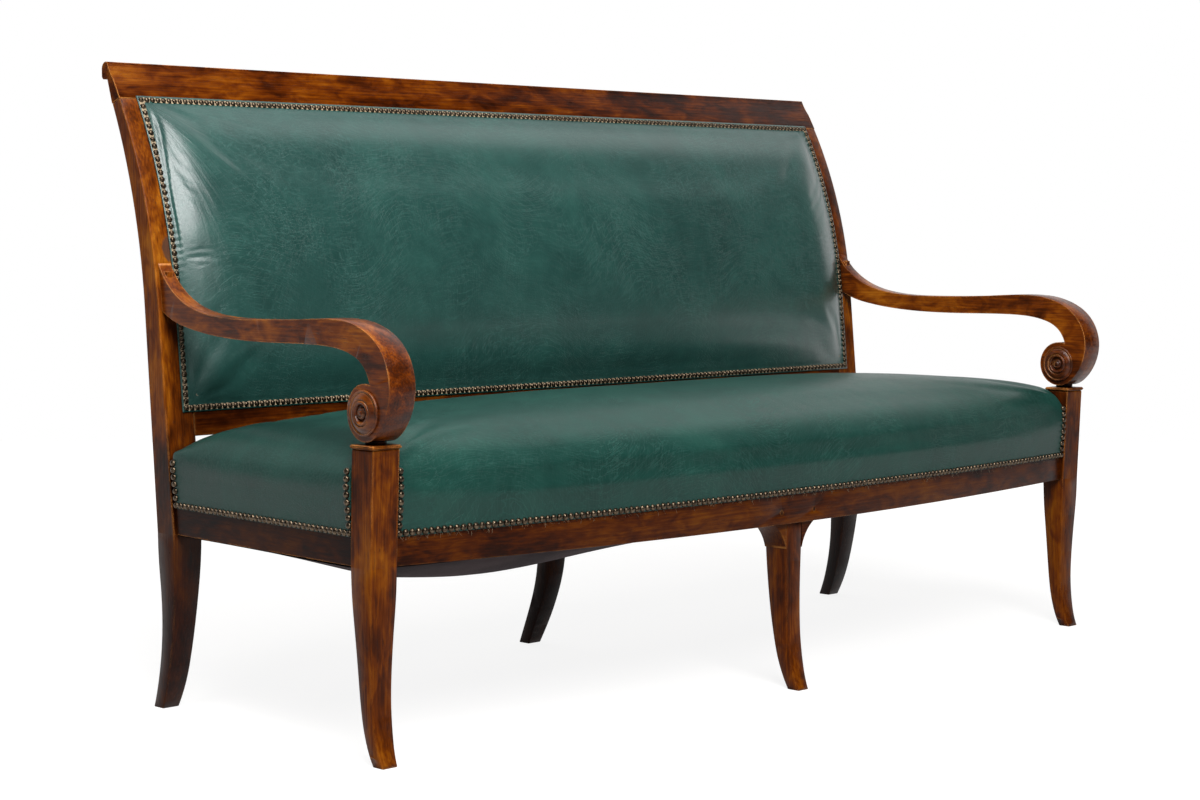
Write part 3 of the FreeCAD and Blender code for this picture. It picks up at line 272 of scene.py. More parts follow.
def brass(name):
    f = Finish(name)
    tarnish = f.noise(f.here, 260.0, 3.0)
    openAir = f.node("AmbientOcclusion", {"samples": 5}, {"Distance": 0.008}, "AO")
    colour = f.mix(f.band(tarnish, 0.35, 0.7), paint("#352b21"), paint("#665847"))
    deep = f.mix(f.band(1.0 - openAir, 0.5, 1.0), colour, paint("#1d140d"))
    return f.surface({"Base Color": deep, "Metallic": 0.9, "Roughness": 0.2 + 0.2 * tarnish})


def cloth(name, dark, pale, weave, lift):
    f = Finish(name)
    waves = {"Vector": f.here, "Scale": weave, "Distortion": 0.6}
    row = f.node("TexWave", {"bands_direction": "X"}, waves)
    pick = f.node("TexWave", {"bands_direction": "Y"}, waves)
    stain = f.noise(f.here, 7.0, 3.0)
    colour = f.mix(f.band(stain, 0.3, 0.7), paint(dark), paint(pale))
    return f.surface({"Base Color": colour, "Roughness": 0.94, "Normal": f.bump(row + pick, lift, 0.6),
                      "Specular IOR Level": 0.2})


def steel(name):
    f = Finish(name)
    rust = f.band(f.noise(f.here, 80.0, 3.0), 0.45, 0.65)
    colour = f.mix(rust, paint("#6f6a64"), paint("#4a2c1a"))
    return f.surface({"Base Color": colour, "Metallic": 0.8, "Roughness": 0.35 + 0.3 * rust})


def beech(name):
    f = Finish(name)
    fibre = f.noise(f.stretch((0.06, 1.0, 1.0)), 160.0, 3.0)
    colour = f.mix(fibre, paint("#7a5a3a"), paint("#b08a5e"))
    return f.surface({"Base Color": colour, "Roughness": 0.7, "Normal": f.bump(fibre, 0.0003, 0.4)})


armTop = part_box("arm_left")[1]
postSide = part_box("rear_post_left")[0].x
wornSpot = {"in": 0.030, "ahead": 0.02, "above": 0.022}  # a bare place above the arm's joint
postScuff = (postSide + wornSpot["in"], armTop.y - wornSpot["ahead"], armTop.z + wornSpot["above"])
finishes = {
    "crest": walnut("crestWalnut", "x", "#cdb59e", gloss=0.04),
    # rear posts: painted shade darkens them towards the floor, and their strong edge wear also paints an
    # arris highlight
    "post": walnut("postWalnut", "z", "#fff0e0", 1.5, "#6c5a4e", 0.12, scuff=postScuff),
    "arm": walnut("armWalnut", "y", "#fae2c8", gloss=0.2),
    "leg": walnut("legWalnut", "z", "#e8d4c0", gloss=0.08),
    "rail": walnut("railWalnut", "x", "#bba698", 0.6, gloss=0.06),
    # a darker copy of the walnut: painted shade on the side and rear seat rails
    "side": walnut("shadedSideWalnut", "y", "#86746c", gloss=0.06),
    # the darkest copy of the walnut: painted shade on the rear centre leg, the arms' dowel necks and the
    # rail pegs
    "far": walnut("shadedFarWalnut", "z", "#6b5a50", 0.4, gloss=0.05),
    "rosette": walnut("rosetteWalnut", "y", "#e6d2c0", creviceDepth=0.007),
    "back": leather("backLeather", (-0.79, 0.94), 0.9, 0.4),
    # the seat's leather is multiplied darker than the back's, a painted shade meant for its front and sides
    "seat": leather("seatLeather", None, 0.15, 0.15, "#dfe8e2"),
    "outside": leather("outsideLeather"),
    "brass": brass("antiqueBrass"),
    "under": cloth("underCloth", "#3c3437", "#5d5254", 900.0, 0.0002),
    "thread": cloth("linenThread", "#8a7660", "#b9a587", 1200.0, 0.0001),
    "jute": cloth("juteWebbing", "#6e5638", "#92764d", 500.0, 0.0004),
    "canvas": cloth("canvasCloth", "#8a8070", "#a99d8a", 900.0, 0.0002),
    "steel": steel("springSteel"),
    "beech": beech("beechBlocks"),
}
print("stage: finishes made,", len(finishes))

# Woodwork and hidden frame: the nodes stay, with eased arrises

woodwork = {
    "crest": ["crest_rail"],
    "post": ["rear_post_left", "rear_post_right"],
    "arm": ["arm_left", "arm_right"],
    "leg": ["front_leg_left", "front_leg_right", "front_centre_leg", "leg_cap_left", "leg_cap_right"],
    "rail": ["front_seat_rail", "lower_back_rail", "centre_leg_ear_left", "centre_leg_ear_right"],
    "side": ["side_seat_rail_left", "side_seat_rail_right", "rear_seat_rail"],
    "far": ["rear_centre_leg", "arm_dowels", "rail_pegs"],
    "beech": ["corner_block_front_left", "corner_block_front_right", "corner_block_rear_left",
              "corner_block_rear_right", "seat_cross_bearer"],
    "jute": ["seat_webbing_crosswise", "seat_webbing_lengthwise", "back_webbing_level",
             "back_webbing_upright"],
    "canvas": ["seat_canvas", "back_canvas"],
    "steel": ["seat_springs"],
}
eased = {"weld": 0.00002, "width": 0.0022, "segments": 2, "angle": math.radians(32)}


def dress(piece, finish):
    piece.data.materials.clear()
    piece.data.materials.append(finishes[finish])


for finish, names in woodwork.items():
    for name in names:
        dress(nodes[name], finish)
        if finish in ("jute", "canvas", "steel", "beech"):
            continue
        weld = nodes[name].modifiers.new("weld", "WELD")
        weld.merge_threshold = eased["weld"]
        ease = nodes[name].modifiers.new("ease", "BEVEL")
        ease.width = eased["width"]
        ease.segments = eased["segments"]
        ease.limit_method = "ANGLE"
        ease.angle_limit = eased["angle"]
        ease.harden_normals = True
print("stage: woodwork dressed")


def addPiece(name, vertices, faces, finish):
    mesh = bpy.data.meshes.new(name)
    mesh.from_pydata([tuple(v) for v in vertices], [], [tuple(f) for f in faces])
    mesh.update()
    piece = bpy.data.objects.new(name, mesh)
    bpy.context.collection.objects.link(piece)
    mesh.polygons.foreach_set("use_smooth", [True] * len(mesh.polygons))
    dress(piece, finish)
    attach(piece, "root")
    return piece


# Plan of the seat, shared by the cover, its nails and the cloth below

legLow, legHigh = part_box("front_leg_right")
postLow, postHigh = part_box("rear_post_right")
railLow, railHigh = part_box("front_seat_rail")
sideStep = 0.005  # the side rails stand in from legs and posts
plan = {
    "bow": 0.045,  # the front rail's swell at the middle
    "legDepth": 0.051,
    "seatDepth": 0.504,  # to the posts' front faces
    "railRear": 0.548,
    "railFront": 0.012,
    "sideFront": legHigh.x - sideStep,
    "sideRear": postHigh.x - sideStep,
    "clear": 0.0004,
}
drawnFront = railLow.y + plan["bow"] - plan["railFront"]  # the front legs' front faces


def railFace(x):
    share = np.minimum(np.abs(x) / legLow.x, 1.0)
    return drawnFront + plan["railFront"] - plan["bow"] * (1 - share ** 2)


def railSide(y):
    share = (y - drawnFront - plan["legDepth"]) / (plan["seatDepth"] - plan["legDepth"])
    return plan["sideFront"] + (plan["sideRear"] - plan["sideFront"]) * share


def planGrid(outset, counts):
    middle, side, front, depth, rear = counts
    notchRow = drawnFront + plan["legDepth"] + plan["clear"]
    postRow = drawnFront + plan["seatDepth"] - plan["clear"]
    rearRow = drawnFront + plan["railRear"] + outset
    columns = np.concatenate([np.linspace(-2, -1, side + 1)[:-1], np.linspace(-1, 1, middle + 1),
                              np.linspace(1, 2, side + 1)[1:]])
    rows = np.concatenate([np.linspace(0, 1, front + 1), np.linspace(1, 2, depth + 1)[1:],
                           np.linspace(2, 3, rear + 1)[1:]])
    u, v = np.meshgrid(columns, rows)
    through = np.clip(v / 3, 0, 1)
    notch = legLow.x - plan["clear"] + (postLow.x - legLow.x) * through
    y = np.zeros_like(u)
    x = np.clip(u, -1, 1) * notch
    for again in range(2):
        face = railFace(x) - outset
        first = face + (notchRow - face) * np.clip(v, 0, 1)
        y = first + (postRow - notchRow) * np.clip(v - 1, 0, 1) + (rearRow - postRow) * np.clip(v - 2, 0, 1)
        edge = np.clip(np.abs(u) - 1, 0, 1)
        x = np.sign(u) * (np.minimum(np.abs(u), 1) * notch + edge * (railSide(y) + outset - notch))
    middleU = (u[1:, 1:] + u[:-1, :-1]) / 2
    middleV = (v[1:, 1:] + v[:-1, :-1]) / 2
    kept = ~((np.abs(middleU) > 1) & ((middleV < 1) | (middleV > 2)))  # no faces at legs and posts
    return x, y, kept, u, v


def smoothMin(first, second, blend):
    near = np.maximum(blend - np.abs(first - second), 0) / blend
    return np.minimum(first, second) - near * near * blend / 4


def gridFaces(kept):
    rows, columns = kept.shape
    stride = columns + 1
    faces = []
    for i in range(rows):
        for j in range(columns):
            if kept[i, j]:
                start = i * stride + j
                faces.append((start, start + 1, start + stride + 1, start + stride))
    return faces


def soften(heights, times):
    for again in range(times):
        inner = heights[1:-1, 1:-1]
        around = heights[:-2, 1:-1] + heights[2:, 1:-1] + heights[1:-1, :-2] + heights[1:-1, 2:]
        heights[1:-1, 1:-1] = inner * 0.5 + around * 0.125
    return heights


settle = {"steps": 20, "quality": 4, "thickness": 0.0018}  # thickness of the leather


def swell(piece, pinned, cap, pressure):  # a short cloth simulation, kept close to the drawn form
    drawn = np.array([v.co[:] for v in piece.data.vertices])
    group = piece.vertex_groups.new(name="pinned")
    group.add([int(k) for k in pinned], 1.0, "REPLACE")
    sim = piece.modifiers.new("swell", "CLOTH")
    sim.settings.quality = settle["quality"]
    sim.settings.vertex_group_mass = "pinned"
    sim.settings.use_pressure = True
    sim.settings.uniform_pressure_force = pressure
    sim.settings.effector_weights.gravity = 0.0
    sim.collision_settings.use_collision = False
    sim.point_cache.frame_end = settle["steps"]
    scene = bpy.context.scene
    for step in range(1, settle["steps"] + 1):
        scene.frame_set(step)
    settled = piece.evaluated_get(bpy.context.evaluated_depsgraph_get())
    moved = np.array([v.co[:] for v in settled.data.vertices]) - drawn
    piece.modifiers.remove(sim)
    scene.frame_set(1)
    length = np.linalg.norm(moved, axis=1, keepdims=True)
    print("   ", piece.name, "moved at most", round(float(length.max()) * 1000, 1), "mm")
    moved *= cap * np.tanh(length / cap) / np.maximum(length, 1e-9)  # a soft limit leaves no step
    piece.data.vertices.foreach_set("co", (drawn + moved).ravel())
    piece.data.update()


def finishSkin(piece, rounding):
    solid = piece.modifiers.new("skin", "SOLIDIFY")
    solid.thickness = settle["thickness"]
    solid.offset = -1.0
    if rounding:
        rounded = piece.modifiers.new("rounded", "SUBSURF")
        rounded.levels = rounding
        rounded.render_levels = rounding


# Seat

seat = {
    "lowEdge": 0.3160,
    "heights": [0.405, 0.424, 0.440, 0.452, 0.463, 0.472, 0.479],
    "front": [0.0, 0.008, 0.028, 0.060, 0.104, 0.154, 0.209],  # draw-in at each height
    "sides": [0.0, 0.009, 0.031, 0.067, 0.191, 0.381, 0.581],
    "rearHeights": [0.358, 0.385, 0.405, 0.424, 0.440, 0.452, 0.463, 0.472, 0.479],
    "rear": [0.0, 0.024, 0.052, 0.090, 0.136, 0.172, 0.206, 0.240, 0.270],
    "outset": 0.0058,
    "cap": 0.005,  # how far the simulated cover may move
    "pressure": 4.0,
    "cornerPuff": 0.004,  # the nose is fuller beside the front legs
    "puffAt": (0.745, 0.028),  # across, and back from the front
    "puffSpread": (0.05, 0.022),
    "blend": 0.008,
    "smoothings": 8,
    "heldRim": 0.004,
    "heldAboveRail": 0.012,
    "fill": 0.9,
    "wallRows": 12,
    "wallHeights": [0.316, 0.340, 0.358, 0.385, 0.405],
    "wallBulge": [-0.0040, -0.0026, -0.0004, 0.0016, 0.0],
    "grid": (222, 7, 14, 62, 7),
}


def buildSeat():
    x, y, kept, u, v = planGrid(seat["outset"], seat["grid"])
    fromFront = y - (railFace(x) - seat["outset"])
    fromSide = railSide(y) + seat["outset"] - np.abs(x)
    fromRear = drawnFront + plan["railRear"] + seat["outset"] - y
    rise = np.interp(fromFront, seat["front"], seat["heights"])
    rise = smoothMin(rise, np.interp(fromSide, seat["sides"], seat["heights"]), seat["blend"])
    rise = smoothMin(rise, np.interp(fromRear, seat["rear"], seat["rearHeights"]), seat["blend"])
    rise = soften(rise, seat["smoothings"])
    across = (np.abs(x) - seat["puffAt"][0]) / seat["puffSpread"][0]
    behind = (fromFront - seat["puffAt"][1]) / seat["puffSpread"][1]
    rise = rise + seat["cornerPuff"] * np.exp(-across ** 2 - behind ** 2)
    points = np.stack([x, y, rise], axis=2).reshape(-1, 3)
    outward = np.zeros((points.shape[0], 2))
    flatU = u.ravel()
    flatV = v.ravel()
    frontEdge = (flatV == 0) & (np.abs(flatU) <= 1)
    outward[frontEdge] = (0.0, -1.0)
    sideEdge = (np.abs(flatU) == 2) & (flatV >= 1) & (flatV <= 2)
    outward[sideEdge, 0] = np.sign(flatU[sideEdge])
    top = bmesh.new()
    made = [top.verts.new(p) for p in points]
    for face in gridFaces(kept):
        top.faces.new([made[k] for k in face])
    direction = {made[k]: outward[k] for k in range(len(made)) if made[k].link_faces}
    for vertex in [m for m in made if not m.link_faces]:
        top.verts.remove(vertex)
    border = [e for e in top.edges if len(e.link_faces) == 1]
    heads = {vertex: vertex for edge in border for vertex in edge.verts}
    first = {vertex: vertex.co.copy() for vertex in heads}
    for row in range(1, seat["wallRows"] + 1):  # the walls go down row by row
        made = bmesh.ops.extrude_edge_only(top, edges=border)
        fresh = [g for g in made["geom"] if isinstance(g, bmesh.types.BMVert)]
        border = [g for g in made["geom"] if isinstance(g, bmesh.types.BMEdge) and len(g.link_faces) == 1]
        near = {}
        for vertex in fresh:
            for edge in vertex.link_edges:
                other = edge.other_vert(vertex)
                if other in heads and abs(other.co.x - vertex.co.x) + abs(other.co.y - vertex.co.y) < 1e-7:
                    near[vertex] = heads[other]
        for vertex, head in near.items():
            place = first[head]
            z = place.z + (seat["lowEdge"] - place.z) * row / seat["wallRows"]
            out = direction[head]
            push = float(np.interp(z, seat["wallHeights"], seat["wallBulge"]))
            vertex.co = (place.x + out[0] * push, place.y + out[1] * push, z)
        heads = near
    bmesh.ops.recalc_face_normals(top, faces=top.faces)
    mesh = bpy.data.meshes.new("seatPad")
    top.to_mesh(mesh)
    top.free()
    spots = [v.co[:] for v in mesh.vertices]
    faces = [p.vertices[:] for p in mesh.polygons]
    bpy.data.meshes.remove(mesh)
    return addPiece("seatPad", spots, faces, "seat")


def heldBySeat(place):  # at the nails and where the cover meets legs and posts
    x, y, z = abs(place[0]), place[1] - drawnFront, place[2]
    rim = seat["heldRim"]
    atLeg = x > legLow.x - rim and y < plan["legDepth"] + rim
    atPost = x > postLow.x - rim and y > plan["seatDepth"] - rim
    atRear = y > plan["railRear"] - rim
    return z < railHigh.z + seat["heldAboveRail"] or atLeg or atPost or atRear


seatPad = buildSeat()
held = [v.index for v in seatPad.data.vertices if heldBySeat(v.co)]
swell(seatPad, held, seat["cap"], seat["pressure"])
finishSkin(seatPad, 1)
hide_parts("seat_cover", "seat_stuffing")
print("stage: seat made")

# Back

back = {
    "nailSide": 0.790,
    "nailLow": 0.467,
    "nailHigh": 0.939,
    "flange": 0.0065,
    "border": 0.009,
    "swell": 0.030,
    "skin": 0.0023,
    "sideRound": 0.060,
    "sidePower": 2.0,
    "sideShares": (0.84, 0.16),  # of the swelling: at the edge, over the whole width
    "endRound": 0.080,
    "endPower": 2.6,
    "endShares": (0.86, 0.14),
    "rake": math.radians(5.4),
    "turnHeight": 0.620,
    "turnRadius": 0.842,
    "railBottom": 0.276,
    "grid": (16, 180, 192),  # columns near each side, columns between, rows
    "sideStrip": 0.044,
    "cap": 0.004,
    "pressure": 4.0,
    "pitch": 0.0102,  # nails along every edge
    "pucker": 0.0009,  # small tucks between the nails
    "tuckAt": 0.008,
    "tuckSpread": 0.007,
    "tuckDepth": 0.01,
    "ridge": 0.0042,  # a pleat beside the upper side nails
    "pleatAt": 0.0105,
    "pleatWave": 0.0035,
    "pleatDrift": 0.0048,
    "pleatSpread": 0.0034,
    "pleatLow": 0.64,
    "heldRim": 0.004,
    "fill": 0.9,
}


def backPlane(z, forward):
    rake = back["rake"]
    foot = drawnFront + plan["seatDepth"]
    centreY = foot + (back["turnHeight"] - back["railBottom"]) * math.tan(rake) \
        + back["turnRadius"] * math.cos(rake)
    centreZ = back["turnHeight"] - back["turnRadius"] * math.sin(rake)
    straight = foot + (z - back["railBottom"]) * math.tan(rake) - forward / math.cos(rake)
    reach = back["turnRadius"] + forward
    curved = centreY - np.sqrt(np.maximum(reach ** 2 - (z - centreZ) ** 2, 0.0001))
    return np.where(z < centreZ + reach * math.sin(rake), straight, curved)


def backColumns(wide):
    few, many, rows = back["grid"]
    inner = wide - back["sideStrip"]
    left = np.linspace(-wide, -inner, few + 1)[:-1]
    return np.concatenate([left, np.linspace(-inner, inner, many + 1), -left[::-1]])


def buildBack():
    wide = back["nailSide"] + back["flange"]
    low = back["nailLow"] - back["flange"]
    high = back["nailHigh"] + back["flange"]
    x, z = np.meshgrid(backColumns(wide), np.linspace(low, high, back["grid"][2] + 1))
    inside = back["flange"] + back["border"]
    fromSide = np.clip(wide - inside - np.abs(x), 0, None)
    fromEnd = np.clip(np.minimum(z - low, high - z) - inside, 0, None)
    tall = high - low - 2 * inside
    edge, crown = back["sideShares"]
    side = edge * (1 - (1 - np.clip(fromSide / back["sideRound"], 0, 1)) ** back["sidePower"])
    side = side + crown * np.sin(np.clip(fromSide / wide, 0, 1) * math.pi / 2)
    edge, crown = back["endShares"]
    end = edge * (1 - (1 - np.clip(fromEnd / back["endRound"], 0, 1)) ** back["endPower"])
    end = end + crown * np.sin(np.clip(fromEnd / tall, 0, 0.5) * math.pi)
    forward = back["skin"] + (back["swell"] - back["skin"]) * side * end
    sideIn = back["nailSide"] - np.abs(x)
    endIn = np.minimum(z - back["nailLow"], back["nailHigh"] - z)
    turn = 2 * math.pi / back["pitch"]

    def tuck(along, inward):
        near = np.exp(-((inward - back["tuckAt"]) / back["tuckSpread"]) ** 2)
        return (0.5 - 0.5 * np.cos(turn * along)) * near

    tuckSide = tuck(z - back["nailLow"], sideIn)
    tuckEnd = tuck(x, endIn)
    loose = 0.55 + 0.45 * np.sin(31 * z + 1.0) * np.sin(17 * z)  # no two tucks pull alike
    inward = np.minimum(sideIn, endIn).clip(0, back["tuckDepth"]) / back["tuckDepth"]
    forward = forward + back["pucker"] * (tuckSide * loose + 0.6 * tuckEnd) * inward
    wave = back["pleatWave"] * np.sin(14 * z)
    drift = back["pleatDrift"] * np.clip((z - 0.80) / 0.13, 0, 1)  # away from the nails near the top
    line = back["pleatAt"] + wave + drift
    length = np.clip((z - back["pleatLow"]) / 0.10, 0, 1) * np.clip((high - z) / 0.05, 0, 1)
    pleat = np.exp(-((sideIn - line) / back["pleatSpread"]) ** 2) * length
    forward = forward + back["ridge"] * pleat * np.where(x < 0, 1.0, 0.5)  # stronger on the left
    y = backPlane(z, forward)
    points = np.stack([x, y, z], axis=2).reshape(-1, 3)
    faces = gridFaces(np.ones((x.shape[0] - 1, x.shape[1] - 1), bool))
    return addPiece("backPad", points, faces, "back")


def heldByBack(place):  # at the nails
    fromEnds = min(place[2] - back["nailLow"], back["nailHigh"] - place[2])
    return min(back["nailSide"] - abs(place[0]), fromEnds) < back["heldRim"]


backPad = buildBack()
held = [v.index for v in backPad.data.vertices if heldByBack(v.co)]
swell(backPad, held, back["cap"], back["pressure"])
finishSkin(backPad, 0)
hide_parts("back_cover", "back_stuffing")
print("stage: back made")

# Brass nails: domed heads in rows, the back's rows on a pale braid

nail = {
    "profile": [(0.0046, -0.0010), (0.0046, 0.0002), (0.0044, 0.0011), (0.0039, 0.0021), (0.0030, 0.0030),
                (0.0017, 0.0036), (0.0006, 0.0038)],
    "segments": 12,
    "tilt": 0.10,
    "sizes": (0.95, 1.04),
    "seatPitch": 0.0108,
    "seatScale": 1.13,
    "seatHeight": 0.322,
    "legRows": 9,
    "postRows": 7,
    "stand": 0.0025,  # leather and clearance under a head
    "lift": 0.0003,  # over the leather
    "inset": 0.0052,  # from legs and posts
    "braid": 0.0030,
    "scallop": 0.0014,
    "scallopSteps": 6,
}


def evenly(start, end, pitch):
    count = max(1, round((end - start) / pitch))
    return np.linspace(start, end, count + 1)


def backNailRows():
    def spot(x, z):
        ahead = float(backPlane(z, nail["stand"]))
        step = 0.001
        slope = (float(backPlane(z + step, nail["stand"])) - ahead) / step
        return Vector((x, ahead, z)), Vector((0, -1, slope)).normalized()

    side, low, high = back["nailSide"], back["nailLow"], back["nailHigh"]
    level = evenly(-side, side, back["pitch"])
    upright = evenly(low, high, back["pitch"])
    rows = [[spot(x, z) for x in level] for z in (low, high)]
    rows += [[spot(x, z) for z in upright] for x in (-side, side)]
    return rows


def seatNailRows():
    def push(z):
        return seat["outset"] + nail["lift"] + float(np.interp(z, seat["wallHeights"], seat["wallBulge"]))

    def front(x, z):
        slope = 2 * plan["bow"] * x / legLow.x ** 2
        return Vector((x, float(railFace(x)) - push(z), z)), Vector((slope, -1, 0)).normalized()

    def flank(side, y, z):
        return Vector((side * (float(railSide(y)) + push(z)), y, z)), Vector((side, 0, 0))

    half = legLow.x - nail["inset"]
    near = drawnFront + plan["legDepth"] + nail["inset"]
    far = drawnFront + plan["seatDepth"] - nail["inset"]
    low = nail["seatHeight"]
    legColumn = [low + nail["seatPitch"] * k for k in range(nail["legRows"])]
    postColumn = [low + nail["seatPitch"] * k for k in range(nail["postRows"])]
    rows = [[front(x, low) for x in evenly(-half, half, nail["seatPitch"])]]
    for side in (-1, 1):
        rows.append([front(side * half, z) for z in legColumn])
        rows.append([flank(side, near, z) for z in legColumn])
        rows.append([flank(side, far, z) for z in postColumn])
        rows.append([flank(side, y, low) for y in evenly(near, far, nail["seatPitch"])])
    return rows


def islands(piece):
    spots = np.array([v.co[:] for v in piece.data.vertices])
    keys, index = np.unique(np.round(spots, 6), axis=0, return_inverse=True)
    index = index.ravel()
    owner = list(range(len(keys)))

    def root(k):
        while owner[k] != k:
            owner[k] = owner[owner[k]]
            k = owner[k]
        return k

    for polygon in piece.data.polygons:
        corners = [root(index[v]) for v in polygon.vertices]
        for other in corners[1:]:
            owner[root(other)] = root(corners[0])
    groups = {}
    for k in range(len(keys)):
        groups.setdefault(root(k), []).append(keys[k])
    return [np.array(g) for g in groups.values()]


def lathe(profile, segments):
    spots = []
    for radius, height in profile:
        for k in range(segments):
            angle = 2 * math.pi * k / segments
            spots.append((radius * math.cos(angle), radius * math.sin(angle), height))
    faces = []
    for ring in range(len(profile) - 1):
        for k in range(segments):
            after = (k + 1) % segments
            faces.append((ring * segments + k, ring * segments + after,
                          (ring + 1) * segments + after, (ring + 1) * segments + k))
    last = (len(profile) - 1) * segments
    faces.append(tuple(range(last, last + segments)))
    return np.array(spots), faces


def repeated(shape, places):  # one mesh of many placed copies
    spots, faces = shape
    allSpots = []
    allFaces = []
    for number, place in enumerate(places):
        turn = np.array(place)
        allSpots.append(spots @ turn[:3, :3].T + turn[:3, 3])
        allFaces += [tuple(k + number * len(spots) for k in face) for face in faces]
    return np.concatenate(allSpots), allFaces


def nailPlaces(rows, seed, scale):
    chance = random.Random(seed)
    places = []
    taken = set()
    for row in rows:
        for spot, axis in row:
            key = tuple(round(c, 3) for c in spot)
            if key in taken:  # a corner shared by two rows
                continue
            taken.add(key)
            lean = (axis + Vector([chance.uniform(-1, 1) * nail["tilt"] for k in range(3)])).normalized()
            turn = lean.to_track_quat("Z", "Y").to_matrix().to_4x4()
            size = Matrix.Scale(scale * chance.uniform(*nail["sizes"]), 4)
            places.append(Matrix.Translation(spot) @ turn @ size)
    return places


def braidStrip(rows):  # a scalloped ribbon under each row
    spots = []
    faces = []
    for row in rows:
        for k in range(len(row) - 1):
            (start, axis), (end, other) = row[k], row[k + 1]
            across = axis.cross(end - start).normalized()
            steps = nail["scallopSteps"]
            for step in range(steps + 1):
                share = step / steps
                half = nail["braid"] + nail["scallop"] * math.sin(math.pi * share)
                middle = start.lerp(end, share) + axis * nail["lift"]
                spots += [middle - across * half, middle + across * half]
                if step:
                    n = len(spots)
                    faces.append((n - 4, n - 3, n - 1, n - 2))
    return spots, faces


for name, node, rows, scale in (("seatNailHeads", "seat_nails", seatNailRows(), nail["seatScale"]),
                                ("backNailHeads", "back_nails", backNailRows(), 1.0)):
    spots, faces = repeated(lathe(nail["profile"], nail["segments"]), nailPlaces(rows, name, scale))
    heads = addPiece(name, spots, faces, "brass")
    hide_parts(node)
spots, faces = braidStrip(backNailRows())
addPiece("backBraid", spots, faces, "thread")
print("stage: nails made")

# Rosettes: turned discs on the arm scrolls

rosette = {
    "profile": [(0.0320, -0.0005), (0.0320, 0.0022), (0.0314, 0.0031), (0.0302, 0.0034), (0.0292, 0.0031),
                (0.0286, 0.0022), (0.0279, 0.0022), (0.0272, 0.0031), (0.0248, 0.0046), (0.0222, 0.0058),
                (0.0200, 0.0065), (0.0190, 0.0064), (0.0184, 0.0050), (0.0177, 0.0049), (0.0172, 0.0062),
                (0.0163, 0.0073), (0.0150, 0.0076), (0.0138, 0.0073), (0.0128, 0.0063), (0.0121, 0.0040),
                (0.0113, 0.0020), (0.0102, 0.0014), (0.0092, 0.0020), (0.0086, 0.0040), (0.0078, 0.0056),
                (0.0066, 0.0063), (0.0054, 0.0062), (0.0049, 0.0054), (0.0044, 0.0056), (0.0036, 0.0069),
                (0.0022, 0.0077), (0.0006, 0.0079)],
    "segments": 72,
    "rim": 0.97,  # what counts as the disc's rim
}


def rosettePlaces(node, outer):
    places = []
    for island in islands(nodes[node]):
        middle = island.mean(axis=0)
        axis = np.linalg.eigh(np.cov((island - middle).T))[1][:, 0]  # across the disc
        axis = axis * np.sign(axis[0] * middle[0]) * (1 if outer else -1)
        along = (island - middle) @ axis
        radius = np.linalg.norm(island - middle - np.outer(along, axis), axis=1)
        seatLevel = along[radius > radius.max() * rosette["rim"]].min()
        centre = Vector(middle + axis * seatLevel)
        turn = Vector(axis).to_track_quat("Z", "Y").to_matrix().to_4x4()
        places.append(Matrix.Translation(centre) @ turn)
    return places


for node, name, outer in (("arm_rosettes_outer", "outerRosettes", True),
                          ("arm_rosettes_inner", "innerRosettes", False)):
    spots, faces = repeated(lathe(rosette["profile"], rosette["segments"]), rosettePlaces(node, outer))
    discs = addPiece(name, spots, faces, "rosette")
    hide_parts(node)
print("stage: rosettes made")

# Loose threads at the leather's cut edge under the front nails

threads = {
    "level": 0.3166,
    "stand": 0.0024,
    "margin": 0.004,  # clear of the front legs
    "fibres": 170,
    "crowding": 1.6,  # more of them towards the left
    "lengths": (0.003, 0.009),
    "radius": 0.0002,
    "taper": 0.12,
    "steps": 4,
    "sides": 3,
}


def buildThreads():
    chance = random.Random(23)
    steps, sides, margin = threads["steps"], threads["sides"], threads["margin"]
    spots = []
    faces = []
    for number in range(threads["fibres"]):
        x = -legLow.x + margin + (2 * legLow.x - 2 * margin) * chance.random() ** threads["crowding"]
        here = Vector((x, float(railFace(x)) - threads["stand"], threads["level"]))
        heading = Vector((chance.uniform(-1.2, 1.2), chance.uniform(-0.35, 0.0), -1.0)).normalized()
        length = chance.uniform(*threads["lengths"])
        bend = Vector((chance.uniform(-0.5, 0.5), chance.uniform(-0.15, 0.05), chance.uniform(-0.2, 0.4)))
        start = len(spots)
        for step in range(steps + 1):
            thin = threads["radius"] * (1 - threads["taper"] * step)
            for k in range(sides):
                angle = 2 * math.pi * k / sides
                spots.append((here.x + thin * math.cos(angle), here.y + thin * math.sin(angle), here.z))
            here = here + heading * (length / steps)
            heading = (heading + bend * 0.4).normalized()
        for step in range(steps):
            for k in range(sides):
                after = (k + 1) % sides
                low = start + sides * step
                faces.append((low + k, low + after, low + sides + after, low + sides + k))
    addPiece("looseThreads", spots, faces, "thread")


buildThreads()
print("stage: threads made")

# Cloth under the seat and leather on the outside back

under = {
    "inset": -0.0015,
    "grid": (110, 4, 8, 36, 4),
    "level": 0.2752,
    "sag": 0.012,
    "slope": 0.12,  # how far in the sag is complete
    "cornerSag": 0.030,
    "cornerAt": (-0.58, 0.10),  # across, and back from the front legs' faces
    "cornerSpread": (0.24, 0.16),
    "legRoom": 0.004,
    "flat": (1.69, 0.60),
    "area": 0.93,  # square metres, without the corners cut for legs and posts
}


